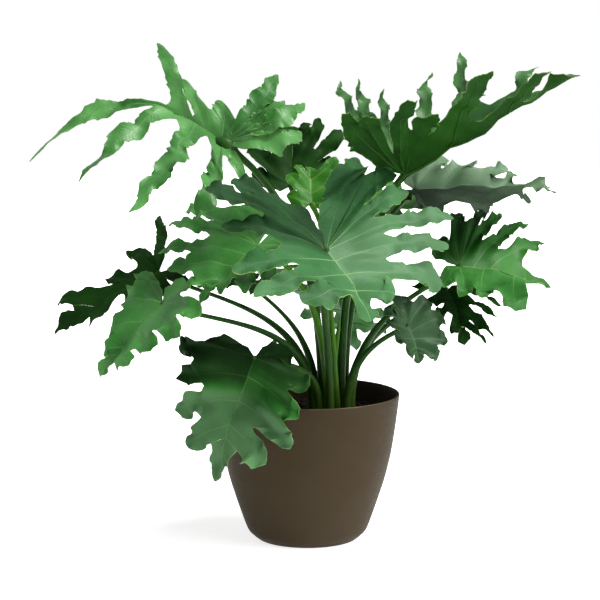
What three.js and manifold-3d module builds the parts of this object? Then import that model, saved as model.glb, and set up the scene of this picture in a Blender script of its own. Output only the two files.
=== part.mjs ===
// A potted lacy tree philodendron: a plain tapered pot, its soil, and a crown of long-stalked leaves
// whose blades are cut into wavy straps. Millimetres, +Z up. The origin is the centre of the pot's flat
// base, and the plant is seen from -Y, with +X to the right.

import * as THREE from "three";
import { mergeVertices } from "three/addons/utils/BufferGeometryUtils.js";
import Module from "manifold-3d";

const wasm = await Module();
wasm.setup();

// Driving dimensions

const POT_HEIGHT = 207;
const POT_RIM_RADIUS = 130;
const POT_WALL = 3;
const POT_FLOOR = 4;
const POT_SIDES = 44;
const LIP_DEPTH = 0.6;
const LIP_INSET = 0.4;

const SOIL_TOP = 178;
const SOIL_MOUND = 5;
const MOUND_RADIUS = 54;
const CLEARANCE = 0.35;

const CROWN_X = 34;
const CROWN_Y = 4;
const INNER_RING = 14;
const OUTER_RING = 28;
const ROOT_DEPTH = 42;
const FOOT_RISE = 3;

const BLADE_THICKNESS = 1.3;
const STALK_SIDES = 6;
const STALK_STEP = 44;
const ROW_LENGTH = 26;
const WEB_ROWS = 2;

// The stalks' feet stand on ovals in the soil, deeper than wide by the ring depth. A bar runs on from the
// stalk under the midrib and tapers from its own radius.

const RING_DEPTH = 1.35;
const FOOT_RADIUS = 6.2;
const MIDRIB_RADIUS = 3;

// How lobes are shaped. Ribs bow backwards by an angle and arch by a share of their length. The margin
// sways in and out by a share of the half width, and up and down by the ruffle, each over its own wave
// length. Neighbouring lobes take at most their share of the room between two ribs. The lobe at a leaf's
// end is cut by a share of the cut of the gap beside it. The first lobe of a half is free along its back
// from the back cut, a share of its rib.

const RIB_BOW = 9;
const RIB_ARCH = 0.07;
const MARGIN_SWAY = 0.2;
const MARGIN_WAVE = 78;
const RUFFLE = 4;
const RUFFLE_WAVE = 62;
const ROOM_SHARE = 0.4;
const TERMINAL_START = 0.06;
const TERMINAL_CUT = 0.5;
const TERMINAL_WEB = 0.12;
const BACK_CUT = 0.2;

// The swelling under the joint, as distances before it and shares of its full growth

const KNUCKLE = [
  [22, 0],
  [14, 0.6],
  [6, 1],
];

// Phases of the waves, in radians, so that no two margins match

const PHASE = { lobe: 2.4, leaf: 1.7, side: 0.9, sway: 1.3, ruffle: 2.1, terminal: 1.1 };

// Outline of the pot's side, as shares of its rim radius and height, from the flat base up

const POT_SIDE = [
  [0.5, 0],
  [0.6, 0.012],
  [0.64, 0.045],
  [0.69, 0.125],
  [0.76, 0.25],
  [0.849, 0.42],
  [0.912, 0.587],
  [0.954, 0.754],
  [0.988, 0.918],
  [1, 0.985],
  [0.9965, 1],
];

// Leaves. joint is where the stalk meets the blade; heading, pitch and roll turn the blade, in degrees,
// with the heading measured from +X towards +Y and a positive roll raising its left half. A bow swings the
// middle of the midrib to the left. Each half lists its lobes from the back of the leaf round to its end,
// as the angle from the midrib, the length and, where they differ from the rest, the rise of the end, the
// cut of the gap after the lobe and the lobe's width. A cut is the share of both ribs at which the gap
// starts. The first lobes of each half spring from the joint itself.

const LEAVES = [
  {
    name: "leaf_upper_left",
    color: 0x5f8f62,
    joint: [-120, 10, 559],
    heading: 178,
    pitch: -3,
    roll: -45,
    midrib: 273,
    bow: -84,
    sag: 10,
    reach: 0.3,
    tip: 26,
    waist: 0.6,
    taper: 3.4,
    knuckle: 11,
    stalkRadius: 4.8,
    ring: INNER_RING,
    bearing: 196,
    left: {
      width: 29,
      cut: 0.06,
      basal: 2,
      reach: 0.33,
      lobes: [[137, 46, 0, 0.3], [80, 178, 0, 0.07, 26], [69, 234, 0, 0.07], [49, 177]],
    },
    right: {
      width: 26,
      cut: 0.3,
      basal: 5,
      reach: 0.22,
      lobes: [
        [129, 181, 0, 0.3, 30],
        [121, 230, 0, 0.3, 22],
        [117, 197, 0, 0.3, 20],
        [111, 223, 0, 0.24, 26],
        [91, 73, 0, 0.5, 40],
        [62, 77, 0, 0.07, 26],
        [71, 123, 0, 0.07, 30],
      ],
    },
  },
  {
    name: "leaf_upper_right",
    color: 0x2c5b2a,
    joint: [139, 66, 510],
    heading: 0,
    pitch: 29,
    roll: 3,
    fold: 38,
    midrib: 285,
    sag: -10,
    basal: 3,
    tip: 30,
    taper: 3,
    rise: 0.6,
    stalkRadius: 4.8,
    ring: INNER_RING,
    bearing: 10,
    left: { width: 22, cut: 0.24, lobes: [[94, 253], [88, 230], [79, 185], [71, 179], [73, 177], [46, 97]] },
    right: {
      width: 44,
      cut: 0.2,
      basal: 4,
      lobes: [
        [100, 213, 6, 0.78],
        [93, 196, 0, 0.24],
        [74, 182, 0, 0.62, 52],
        [53, 130, 0, 0.46],
        [54, 163, 0, 0.16, 46],
        [39, 98, 0, 0.2, 24],
      ],
    },
  },
  {
    name: "leaf_front",
    color: 0x5a8a5e,
    joint: [25, -108, 419],
    heading: -39,
    pitch: -41,
    roll: 13,
    midrib: 113,
    sag: 15,
    basal: 4,
    tip: 60,
    taper: 3.8,
    stalkRadius: 4.4,
    ring: OUTER_RING,
    bearing: -95,
    left: {
      width: 42,
      cut: 0.6,
      lobes: [
        [128, 186, 10, 0.78, 54],
        [113, 195, 14, 0.52, 44],
        [101, 170, 19, 0.44, 34],
        [82, 211, 10, 0.42, 34],
        [77, 184, 0, 0.42],
        [64, 144, -5, 0.6, 56],
        [54, 54, 0, 0.6],
      ],
    },
    right: {
      width: 42,
      cut: 0.4,
      lobes: [
        [169, 112, 8, 0.8, 36],
        [154, 158, 15, 0.72, 50],
        [139, 183, 10, 0.6, 36],
        [127, 148, -10, 0.5, 34],
        [101, 165, -8, 0.46, 36],
        [93, 163, -5, 0.34, 34],
        [91, 99, 0, 0.4, 50],
      ],
    },
  },
  {
    name: "leaf_mid_left",
    color: 0x4f8f3a,
    joint: [-69, -20, 417],
    heading: -160,
    pitch: -34,
    roll: -18,
    midrib: 112,
    basal: 3,
    stalkRadius: 4,
    ring: INNER_RING,
    bearing: 246,
    left: {
      width: 38,
      cut: 0.7,
      lobes: [[140, 80], [105, 95], [70, 105], [61, 99], [44, 60], [40, 32]],
    },
    right: {
      width: 36,
      cut: 0.72,
      lobes: [
        [120, 110],
        [81, 170, 0, 0.52, 30],
        [70, 177, 0, 0.45, 28],
        [57, 150, 0, 0.6, 32],
        [51, 107, 0, 0.66],
        [28, 47],
      ],
    },
  },
  {
    name: "leaf_right_high",
    color: 0x55705c,
    joint: [156, 100, 486],
    heading: 5,
    pitch: 4,
    roll: 12,
    midrib: 208,
    sag: 15,
    basal: 2,
    rise: 0.3,
    arrive: 0.4,
    ring: OUTER_RING,
    bearing: 46,
    left: {
      width: 40,
      lobes: [
        [84, 108, 0, 0.4, 34],
        [54, 109, 12, 0.5],
        [37, 78, 20, 0.55, 44],
        [22, 64, 18, 0.4, 26],
        [52, 50, 0, 0.3, 18],
      ],
    },
    right: {
      width: 42,
      cut: 0.6,
      lobes: [[125, 56, 0, 0.8], [84, 100, -10, 0.9], [66, 118, -15, 0.9], [48, 104, -10, 0.75], [35, 76]],
    },
  },
  {
    name: "leaf_right",
    color: 0x3f8a3a,
    joint: [214, 10, 385],
    heading: 9,
    pitch: -6,
    roll: 27,
    midrib: 139,
    basal: 3,
    ring: OUTER_RING,
    bearing: -14,
    left: {
      width: 24,
      basal: 4,
      reach: 0.36,
      lobes: [
        [118, 70, 0, 0.6, 36],
        [82, 139, 0, 0.6, 28],
        [66, 171, 0, 0.55, 22],
        [58, 163, 0, 0.36, 22],
        [51, 164, 0, 0.32],
        [40, 121, 0, 0.45, 32],
      ],
    },
    right: {
      width: 42,
      basal: 2,
      lobes: [[118, 70, 0, 0.85, 36], [92, 76, 0, 0.9], [104, 88, 0, 0.88], [102, 116, 0, 0.66, 50]],
    },
  },
  {
    name: "leaf_right_low",
    color: 0x2c5a38,
    joint: [201, 65, 345],
    heading: -67,
    pitch: -36,
    roll: 0,
    midrib: 87,
    basal: 2,
    ring: OUTER_RING,
    bearing: 24,
    left: { width: 17, lobes: [[84, 49], [60, 82], [46, 73], [27, 74], [16, 60]] },
    right: { width: 20, lobes: [[140, 35], [100, 56], [70, 68], [58, 60], [40, 46]] },
  },
  {
    name: "leaf_right_front",
    color: 0x35603f,
    joint: [138, -60, 310],
    heading: -55,
    pitch: -52,
    roll: 10,
    midrib: 52,
    sag: 8,
    basal: 2,
    tip: 26,
    ring: OUTER_RING,
    bearing: -42,
    left: { width: 34, cut: 0.74, lobes: [[166, 50], [126, 58], [98, 60], [73, 51], [50, 34]] },
    right: { width: 34, cut: 0.74, lobes: [[174, 56], [150, 41], [126, 36], [96, 27], [66, 20]] },
  },
  {
    name: "leaf_left",
    color: 0x24482b,
    joint: [-212, 45, 372],
    heading: -175,
    pitch: -24,
    roll: -27,
    midrib: 172,
    reach: 0.5,
    basal: 2,
    stalkRadius: 3,
    ring: OUTER_RING,
    bearing: 172,
    left: { width: 30, cut: 0.28, lobes: [[125, 60, -15], [90, 65, -20], [65, 65, -20], [45, 60, -10]] },
    right: {
      width: 32,
      cut: 0.28,
      lobes: [[105, 128, 0, 0.3, 22], [69, 84, 0, 0.35], [48, 60, 0, 0.3, 26], [27, 84, 0, 0.8]],
    },
  },
  {
    name: "leaf_left_front",
    color: 0x4a9150,
    joint: [-198, -75, 344],
    heading: 174,
    pitch: -42,
    roll: -29,
    midrib: 138,
    basal: 2,
    stalkRadius: 3.2,
    ring: OUTER_RING,
    bearing: -162,
    left: {
      width: 44,
      cut: 0.78,
      lobes: [[165, 48, 0, 0.78, 60], [113, 112, 0, 0.8], [107, 124, 0, 0.66], [100, 84], [96, 80]],
    },
    right: { width: 42, cut: 0.78, lobes: [[83, 98, 0, 0.78, 24], [54, 91, 0, 0.7], [34, 64], [16, 28]] },
  },
  {
    name: "leaf_low_front",
    color: 0x336b3a,
    joint: [-71, -115, 275],
    heading: -139,
    pitch: -61,
    roll: -18,
    midrib: 173,
    basal: 2,
    reach: 0.6,
    tip: 40,
    ring: OUTER_RING,
    bearing: -128,
    left: {
      width: 46,
      lobes: [[106, 60, 0, 0.8, 36], [76, 99, 0, 0.78], [71, 107, 0, 0.82], [69, 117, 0, 0.44], [65, 88, 0, 0.7]],
    },
    right: {
      width: 46,
      lobes: [
        [94, 86, -8, 0.88, 22],
        [83, 122, -8, 0.74],
        [72, 106, 0, 0.52, 36],
        [66, 94, 0, 0.57, 38],
        [47, 65, 0, 0.65],
      ],
    },
  },
  {
    name: "leaf_back",
    color: 0x1d3a22,
    joint: [-23, 80, 493],
    heading: 88,
    pitch: 50,
    roll: 0,
    midrib: 130,
    basal: 2,
    stalkRadius: 4,
    ring: INNER_RING,
    bearing: 80,
    left: { width: 40, cut: 0.6, lobes: [[72, 62], [42, 95, 0, 0.5], [28, 84], [26, 44]] },
    right: { width: 40, cut: 0.6, lobes: [[58, 78], [36, 122, 0, 0.5], [24, 96], [34, 46]] },
  },
  {
    name: "leaf_young",
    color: 0x52a02a,
    joint: [6, 20, 472],
    heading: 95,
    pitch: 60,
    roll: 0,
    midrib: 62,
    sag: 5,
    basal: 1,
    tip: 20,
    ring: INNER_RING,
    bearing: 140,
    left: { width: 26, cut: 0.6, lobes: [[70, 38], [50, 44], [35, 32]] },
    right: { width: 26, cut: 0.6, lobes: [[80, 42], [56, 76], [50, 52]] },
  },
  {
    name: "leaf_left_back",
    color: 0x264d2c,
    joint: [-83, 70, 352],
    heading: 180,
    pitch: 5,
    roll: -8,
    midrib: 75,
    sag: 4,
    basal: 2,
    tip: 22,
    stalkRadius: 3,
    ring: OUTER_RING,
    bearing: 140,
    left: { width: 24, lobes: [[130, 45], [95, 60], [60, 50], [45, 30]] },
    right: { width: 24, lobes: [[130, 45], [95, 60], [60, 50], [45, 30]] },
  },
  {
    name: "leaf_rear_low",
    color: 0x37703b,
    joint: [40, 175, 330],
    heading: 70,
    pitch: -35,
    roll: 0,
    midrib: 150,
    basal: 2,
    stalkRadius: 3.2,
    ring: OUTER_RING,
    bearing: 102,
    left: { width: 34, lobes: [[145, 95], [112, 115], [86, 105], [66, 90], [47, 65]] },
    right: { width: 34, lobes: [[145, 82], [112, 115], [86, 105], [66, 90], [47, 65]] },
  },
  {
    name: "leaf_rear_high",
    color: 0x4b8a3c,
    joint: [100, 150, 450],
    heading: 60,
    pitch: 14,
    roll: 8,
    midrib: 150,
    basal: 2,
    rise: 0.3,
    ring: OUTER_RING,
    bearing: 73,
    left: { width: 34, lobes: [[145, 50], [112, 62], [86, 85], [66, 90], [47, 65]] },
    right: { width: 36, cut: 0.5, lobes: [[145, 40], [112, 80], [86, 95], [66, 90], [47, 65]] },
  },
];

const LEAF_DEFAULTS = {
  fold: 6,
  sag: 20,
  reach: 0.66,
  tip: 34,
  cut: 0.32,
  waist: 0.72,
  taper: 3.2,
  bow: 0,
  knuckle: 0,
  stalkRadius: 3.6,
  rise: 0.5,
  arrive: 0.3,
};

// Solids

const radians = THREE.MathUtils.degToRad;

// How far a wave has grown in over the first quarter of a lobe

function grown(share) {
  return Math.min(1, 4 * share);
}

function material(color, roughness) {
  return new THREE.MeshStandardMaterial({ color, roughness, metalness: 0 });
}

function solidOf(geometry) {
  const bare = geometry.index ? geometry.toNonIndexed() : geometry.clone();
  for (const name of Object.keys(bare.attributes)) {
    if (name !== "position") {
      bare.deleteAttribute(name);
    }
  }
  const merged = mergeVertices(bare, 1e-4);
  const position = merged.getAttribute("position");
  const index = merged.getIndex().array;
  const corners = [];
  for (let i = 0; i < index.length; i += 3) {
    const [a, b, c] = [index[i], index[i + 1], index[i + 2]];
    if (a !== b && b !== c && c !== a) {
      corners.push(a, b, c);
    }
  }
  const mesh = new wasm.Mesh({
    numProp: 3,
    vertProperties: new Float32Array(position.array),
    triVerts: new Uint32Array(corners),
  });
  return new wasm.Manifold(mesh);
}

function geometryOf(solid) {
  const { vertProperties, triVerts } = solid.getMesh();
  const geometry = new THREE.BufferGeometry();
  geometry.setAttribute("position", new THREE.BufferAttribute(new Float32Array(vertProperties), 3));
  geometry.setIndex(new THREE.BufferAttribute(new Uint32Array(triVerts), 1));
  return geometry;
}

function geometryFrom(points, faces) {
  const geometry = new THREE.BufferGeometry();
  const flat = points.flatMap((point) => point.toArray());
  geometry.setAttribute("position", new THREE.Float32BufferAttribute(flat, 3));
  geometry.setIndex(faces.flat());
  return geometry;
}

function node(name, geometry, finish) {
  geometry.computeVertexNormals();
  const mesh = new THREE.Mesh(geometry, finish);
  mesh.name = name;
  return mesh;
}

function lathe(profile, sides) {
  const geometry = new THREE.LatheGeometry(profile.map(([r, z]) => new THREE.Vector2(r, z)), sides);
  return geometry.rotateX(Math.PI / 2);
}

// A closed round bar whose rings follow a list of points, each with its own radius

function sweep(points, radii, sides) {
  const rings = [];
  let across = new THREE.Vector3(1, 0, 0);
  points.forEach((point, i) => {
    const before = points[Math.max(0, i - 1)];
    const after = points[Math.min(points.length - 1, i + 1)];
    const along = after.clone().sub(before).normalize();
    across = across.clone().addScaledVector(along, -across.dot(along)).normalize();
    const other = along.clone().cross(across);
    for (let k = 0; k < sides; k += 1) {
      const turn = (2 * Math.PI * k) / sides;
      const spot = point.clone();
      spot.addScaledVector(across, radii[i] * Math.cos(turn));
      spot.addScaledVector(other, radii[i] * Math.sin(turn));
      rings.push(spot);
    }
  });
  const faces = [];
  const last = (points.length - 1) * sides;
  for (let k = 0; k < sides; k += 1) {
    const next = (k + 1) % sides;
    for (let row = 0; row < last; row += sides) {
      faces.push([row + k, row + next, row + sides + next], [row + k, row + sides + next, row + sides + k]);
    }
    if (k > 0 && next > 0) {
      faces.push([0, next, k], [last, last + k, last + next]);
    }
  }
  return geometryFrom(rings, faces);
}

// Pot and soil

function potOutside() {
  return POT_SIDE.map(([r, z]) => [r * POT_RIM_RADIUS, z * POT_HEIGHT]);
}

function potRadiusInside(z) {
  const side = potOutside();
  const next = side.findIndex(([, height]) => height >= z);
  const [r1, z1] = side[next];
  const [r0, z0] = side[Math.max(0, next - 1)];
  const share = z1 === z0 ? 0 : (z - z0) / (z1 - z0);
  return r0 + (r1 - r0) * share - POT_WALL;
}

// Heights at which the inner wall has a ring, up to its top

function insideHeights(top) {
  const heights = potOutside().map(([, z]) => z);
  return [POT_FLOOR, ...heights.filter((z) => z > 2 * POT_FLOOR && z < top - 2 * POT_WALL), top];
}

function pot() {
  const lip = POT_HEIGHT - LIP_DEPTH;
  const inside = insideHeights(lip).map((z) => [potRadiusInside(z), z]).reverse();
  const profile = [
    [0, 0],
    ...potOutside().slice(0, -1),
    [POT_RIM_RADIUS - LIP_INSET, lip],
    [POT_RIM_RADIUS - POT_WALL / 2, POT_HEIGHT],
    ...inside,
    [0, POT_FLOOR],
  ];
  return node("planter", lathe(profile, POT_SIDES), material(0x453a2e, 0.55));
}

function soil(stalks) {
  const side = insideHeights(SOIL_TOP).map((z) => [potRadiusInside(z) - CLEARANCE, z]);
  side[0][1] += CLEARANCE;
  const profile = [
    [0, POT_FLOOR + CLEARANCE],
    ...side,
    [MOUND_RADIUS, SOIL_TOP + SOIL_MOUND * 0.6],
    [0, SOIL_TOP + SOIL_MOUND],
  ];
  let body = solidOf(lathe(profile, POT_SIDES));
  for (const stalk of stalks) {
    body = body.subtract(solidOf(stalk.hole()));
  }
  return node("potting_soil", geometryOf(body), material(0x17110c, 1));
}

// A stalk's foot: a straight length standing in a plain hole in the soil

class Foot {
  constructor(x, y, radius) {
    this.x = x;
    this.y = y;
    this.radius = radius;
    this.bottom = SOIL_TOP - ROOT_DEPTH;
    this.top = SOIL_TOP + SOIL_MOUND + FOOT_RISE;
  }

  static onRing(ring, bearing, radius) {
    const turn = radians(bearing);
    return new Foot(CROWN_X + ring * Math.cos(turn), CROWN_Y + RING_DEPTH * ring * Math.sin(turn), radius);
  }

  points() {
    return [new THREE.Vector3(this.x, this.y, this.bottom), new THREE.Vector3(this.x, this.y, this.top)];
  }

  hole() {
    const radius = this.radius + CLEARANCE * 1.2;
    const ends = this.points();
    ends[0].z -= CLEARANCE;
    ends[1].z += SOIL_MOUND;
    return sweep(ends, [radius, radius], STALK_SIDES);
  }
}

// One leaf: the blade's ribs, the half lobes beside them and the stalk

class Leaf {
  constructor(spec, order) {
    Object.assign(this, LEAF_DEFAULTS, spec);
    this.order = order;
    this.joint = new THREE.Vector3(...this.joint);
    this.axes = Leaf.turned(this.heading, this.pitch, this.roll);
    this.foot = Foot.onRing(this.ring, this.bearing, FOOT_RADIUS);
  }

  static turned(heading, pitch, roll) {
    const [h, p, r] = [heading, pitch, roll].map(radians);
    const along = new THREE.Vector3(Math.cos(h) * Math.cos(p), Math.sin(h) * Math.cos(p), Math.sin(p));
    const level = new THREE.Vector3(-Math.sin(h), Math.cos(h), 0);
    const above = along.clone().cross(level);
    const left = level.clone().multiplyScalar(Math.cos(r)).addScaledVector(above, Math.sin(r));
    const up = above.clone().multiplyScalar(Math.cos(r)).addScaledVector(level, -Math.sin(r));
    return { along, left, up };
  }

  // Leaf coordinates, along the midrib, to its left and up, with each half raised by the fold
  place({ x, y, z }) {
    const fold = radians(this.fold);
    const spot = this.joint.clone();
    spot.addScaledVector(this.axes.along, x);
    spot.addScaledVector(this.axes.left, y * Math.cos(fold) + this.bowAt(x / this.midrib));
    return spot.addScaledVector(this.axes.up, z + Math.abs(y) * Math.sin(fold));
  }

  // How far the midrib has swung to the left at a share of its length, and straight on beyond its ends
  bowAt(share) {
    const inside = THREE.MathUtils.clamp(share, 0, 1);
    return 4 * this.bow * (inside * (1 - inside) + (share - inside) * (1 - 2 * inside));
  }

  midribHeight(u) {
    return -this.sag * (Math.max(u, 0) / this.midrib) ** 2;
  }

  midribPoint(u) {
    return new THREE.Vector3(u, 0, this.midribHeight(u));
  }

  lobes({ lobes, width, cut = this.cut, basal = this.basal, reach: along = this.reach }, side) {
    const cuts = lobes.map(([, , , own = cut]) => own);
    const made = lobes.map(([angle, length, rise = 0, , own = width], index) => {
      const step = index - basal;
      const start = step < 0 ? 0 : (this.midrib * along * (step + 0.8)) / (lobes.length - basal);
      const root = this.midribPoint(start);
      const reach = (degrees, share, height) => {
        const turn = radians(degrees);
        const out = new THREE.Vector3(Math.cos(turn), side * Math.sin(turn), 0).multiplyScalar(length * share);
        return out.add(new THREE.Vector3(root.x, 0, height));
      };
      const tip = reach(angle, 1, rise);
      const middle = reach(angle + RIB_BOW, 0.5, (root.z + rise) / 2 + RIB_ARCH * length);
      const curve = new THREE.QuadraticBezierCurve3(root, middle, tip);
      const phase = PHASE.lobe * index + PHASE.leaf * this.order + PHASE.side * side;
      const back = index > 0 ? cuts[index - 1] : BACK_CUT;
      return { side, curve, length, phase, width: own, back, front: cuts[index] };
    });
    made.push(this.terminalLobe(side, TERMINAL_CUT * cuts.at(-1)));
    return made;
  }

  terminalLobe(side, back) {
    const from = this.midrib * (this.reach + TERMINAL_START);
    const middle = (from + this.midrib) / 2;
    const slope = (-2 * this.sag * from) / this.midrib ** 2;
    const bend = new THREE.Vector3(middle, 0, this.midribHeight(from) + slope * (middle - from));
    const curve = new THREE.QuadraticBezierCurve3(this.midribPoint(from), bend, this.midribPoint(this.midrib));
    const phase = PHASE.terminal + this.order;
    return { side, curve, length: this.midrib - from, phase, width: this.tip, back, last: true };
  }

  // The share of the rib that lies a share of the free length past the gap on one side
  static past(lobe, toward, open) {
    const cut = toward > 0 ? lobe.back : lobe.front;
    return cut + (1 - cut) * open;
  }

  // Half the width of a lobe on one side of its rib, at a share of its free length
  halfWidth(lobe, toward, share, neighbour) {
    const swell = this.waist + (1 - this.waist) * THREE.MathUtils.smoothstep(share, 0, 0.5);
    const waves = (lobe.length / MARGIN_WAVE) * 2 * Math.PI;
    const sway = MARGIN_SWAY * Math.sin(waves * share + lobe.phase + PHASE.sway * toward) * grown(share);
    const point = Math.max(0, 1 - share ** this.taper) ** 0.7;
    const full = (lobe.width / 2) * swell * (1 + sway) * point;
    if (!neighbour) {
      return full;
    }
    const at = Leaf.past(lobe, toward, share);
    return Math.min(full, ROOM_SHARE * lobe.curve.getPoint(at).distanceTo(neighbour.curve.getPoint(at)));
  }

  // The bottom of the gap between two neighbouring lobes
  static gapBottom(lobe, next) {
    return lobe.curve.getPoint(lobe.front).lerp(next.curve.getPoint(next.back), 0.5);
  }

  static foldTop(lobe, next) {
    return next.last ? next.curve.getPoint(0) : lobe.curve.getPoint(0).lerp(next.curve.getPoint(0), 0.5);
  }

  // Rows of one half lobe, each from its rib out to the margin or to the fold shared with its neighbour
  halfLobe(lobe, neighbour, toward) {
    const split = lobe.last ? TERMINAL_WEB : (lobe.back + lobe.front) / 2;
    const pair = toward > 0 ? [neighbour, lobe] : [lobe, neighbour];
    const root = lobe.curve.getPoint(0);
    const top = neighbour ? Leaf.foldTop(...pair) : root;
    const start = this.margin(lobe, toward, 0, neighbour);
    const bottom = neighbour ? Leaf.gapBottom(...pair) : start;
    const rows = [];
    for (let k = 0; k < WEB_ROWS; k += 1) {
      rows.push([lobe.curve.getPoint((split * k) / WEB_ROWS), top.clone().lerp(bottom, k / WEB_ROWS)]);
    }
    rows.push([lobe.curve.getPoint(split), bottom]);
    const free = Math.max(3, Math.round((lobe.length * (1 - split)) / ROW_LENGTH));
    for (let k = 1; k <= free; k += 1) {
      const open = k / free;
      const edge = this.margin(lobe, toward, open, neighbour);
      edge.addScaledVector(bottom.clone().sub(start), (1 - open) ** 6);
      rows.push([lobe.curve.getPoint(split + (1 - split) * open), edge]);
    }
    return rows;
  }

  // The margin at a share of the lobe's free length
  margin(lobe, toward, open, neighbour) {
    const share = Leaf.past(lobe, toward, open);
    const along = lobe.curve.getTangent(share);
    const out = new THREE.Vector3(-along.y, along.x, 0).normalize().multiplyScalar(lobe.side * toward);
    const edge = lobe.curve.getPoint(share).addScaledVector(out, this.halfWidth(lobe, toward, open, neighbour));
    if (!lobe.last) {
      const lag = toward > 0 ? 0 : PHASE.ruffle;
      const waves = (lobe.length / RUFFLE_WAVE) * 2 * Math.PI;
      const swing = Math.sin(waves * open + lobe.phase + lag) * grown(open) * (1 - open ** 6);
      edge.z += RUFFLE * swing;
    }
    return edge;
  }

  // The blade's middle surface, as points and triangles wound from above
  surface() {
    const points = [];
    const faces = [];
    const known = new Map();
    const indexOf = (spot) => {
      const key = [spot.x, spot.y, spot.z].map((value) => Math.round(value * 100)).join();
      if (!known.has(key)) {
        known.set(key, points.length);
        points.push(this.place(spot));
      }
      return known.get(key);
    };
    for (const [half, side] of [[this.left, 1], [this.right, -1]]) {
      const lobes = this.lobes(half, side);
      lobes.forEach((lobe, i) => {
        for (const toward of [1, -1]) {
          const neighbour = lobes[i - toward];
          if (lobe.last && !neighbour) {
            continue;
          }
          const rows = this.halfLobe(lobe, neighbour, toward).map((row) => row.map(indexOf));
          for (let r = 0; r + 1 < rows.length; r += 1) {
            const [[a, d], [b, c]] = [rows[r], rows[r + 1]];
            for (const face of [[a, b, c], [a, c, d]]) {
              if (new Set(face).size === 3) {
                faces.push(side * toward > 0 ? face : face.reverse());
              }
            }
          }
        }
      });
    }
    return { points, faces };
  }

  blade() {
    const { points, faces } = this.surface();
    const normals = points.map(() => new THREE.Vector3());
    const edges = new Set();
    for (const [a, b, c] of faces) {
      const normal = points[b].clone().sub(points[a]).cross(points[c].clone().sub(points[a]));
      for (const corner of [a, b, c]) {
        normals[corner].add(normal);
      }
      for (const [from, to] of [[a, b], [b, c], [c, a]]) {
        edges.add(`${from},${to}`);
      }
    }
    normals.forEach((normal) => normal.normalize());
    const half = BLADE_THICKNESS / 2;
    const upper = points.map((point, i) => point.clone().addScaledVector(normals[i], half));
    const lower = points.map((point, i) => point.clone().addScaledVector(normals[i], -half));
    const under = points.length;
    const skin = faces.flatMap(([a, b, c]) => [[a, b, c], [c + under, b + under, a + under]]);
    for (const edge of edges) {
      const [from, to] = edge.split(",").map(Number);
      if (!edges.has(`${to},${from}`)) {
        skin.push([to, from, from + under], [to, from + under, to + under]);
      }
    }
    return geometryFrom([...upper, ...lower], skin);
  }

  // The stalk stands in the soil, arches out to the joint and runs on under the midrib
  stalk() {
    const [bottom, top] = this.foot.points();
    const span = top.distanceTo(this.joint);
    const outward = this.joint.clone().sub(top).setZ(0).normalize();
    const arrival = outward.multiplyScalar(0.5).addScaledVector(this.axes.along, 0.35);
    arrival.add(new THREE.Vector3(0, 0, 0.6)).normalize();
    const lift = top.clone().add(new THREE.Vector3(0, 0, this.rise * span));
    const reach = this.joint.clone().addScaledVector(arrival, -this.arrive * span);
    const arc = new THREE.CubicBezierCurve3(top, lift, reach, this.joint.clone());
    const steps = Math.max(5, Math.round(arc.getLength() / STALK_STEP));
    const points = [bottom];
    const radii = [this.foot.radius];
    for (let k = 0; k <= steps; k += 1) {
      points.push(arc.getPoint(k / steps));
      radii.push(THREE.MathUtils.lerp(this.foot.radius, this.stalkRadius, Math.min(1, (1.6 * k) / steps)));
    }
    if (this.knuckle) {
      const length = arc.getLength();
      const joint = points.pop();
      radii.pop();
      for (const [before, share] of KNUCKLE) {
        points.push(arc.getPointAt(1 - before / length));
        radii.push(THREE.MathUtils.lerp(this.stalkRadius, this.knuckle, share));
      }
      points.push(joint);
      radii.push(this.knuckle * 0.6);
    }
    for (const share of [0.15, 0.4, 0.7]) {
      const spot = this.midribPoint(share * this.midrib);
      spot.z -= BLADE_THICKNESS / 2;
      points.push(this.place(spot));
      radii.push(MIDRIB_RADIUS * (1 - share));
    }
    return sweep(points, radii, STALK_SIDES);
  }

  mesh() {
    const body = solidOf(this.blade()).add(solidOf(this.stalk()));
    return node(this.name, geometryOf(body), material(this.color, 0.45));
  }
}

// The rolled new leaf and the sheath at the heart of the plant

class Spear {
  constructor(name, ring, bearing, radius, path, swell) {
    this.name = name;
    this.foot = Foot.onRing(ring, bearing, radius);
    this.path = path;
    this.swell = swell;
  }

  mesh() {
    const [bottom, top] = this.foot.points();
    const curve = new THREE.CatmullRomCurve3([top, ...this.path.map((spot) => new THREE.Vector3(...spot))]);
    const steps = Math.round(curve.getLength() / STALK_STEP) + 3;
    const points = [bottom];
    const radii = [this.foot.radius];
    for (let k = 0; k <= steps; k += 1) {
      const share = k / steps;
      points.push(curve.getPoint(share));
      const roll = Math.sin(Math.PI * THREE.MathUtils.smoothstep(share, 0.45, 1)) * this.swell;
      radii.push(this.foot.radius * (1 - 0.45 * share) * (1 - share ** 8 * 0.85) + roll);
    }
    return node(this.name, sweep(points, radii, STALK_SIDES), material(0x8fae3c, 0.5));
  }
}

const leaves = LEAVES.map((spec, order) => new Leaf(spec, order));
const spears = [
  new Spear("new_leaf_spear", INNER_RING, -55, 4.5, [[33, -12, 330], [25, -25, 470]], 5),
  new Spear("crown_sheath", 0, 0, 5.5, [[38, 0, 250], [46, -4, 318]], 0),
];

const plant = new THREE.Group();
plant.add(pot());
plant.add(soil([...leaves, ...spears].map((piece) => piece.foot)));
for (const piece of [...leaves, ...spears]) {
  plant.add(piece.mesh());
}

export default plant;
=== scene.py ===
"""A potted lacy tree philodendron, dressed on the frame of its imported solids.

Each leaf's blade is laid out lobe by lobe from the same sizes as its solid: a rib for every lobe, a strip of
blade on both sides of it, and folds between the ribs that neighbouring strips share. Lengths are millimetres
until a piece is placed, and the plant is seen from -Y with +X to the right.
"""

import logging
import math
from dataclasses import dataclass, field
from enum import Enum

import bpy
import numpy as np
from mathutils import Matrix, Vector
from mathutils.kdtree import KDTree

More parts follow.
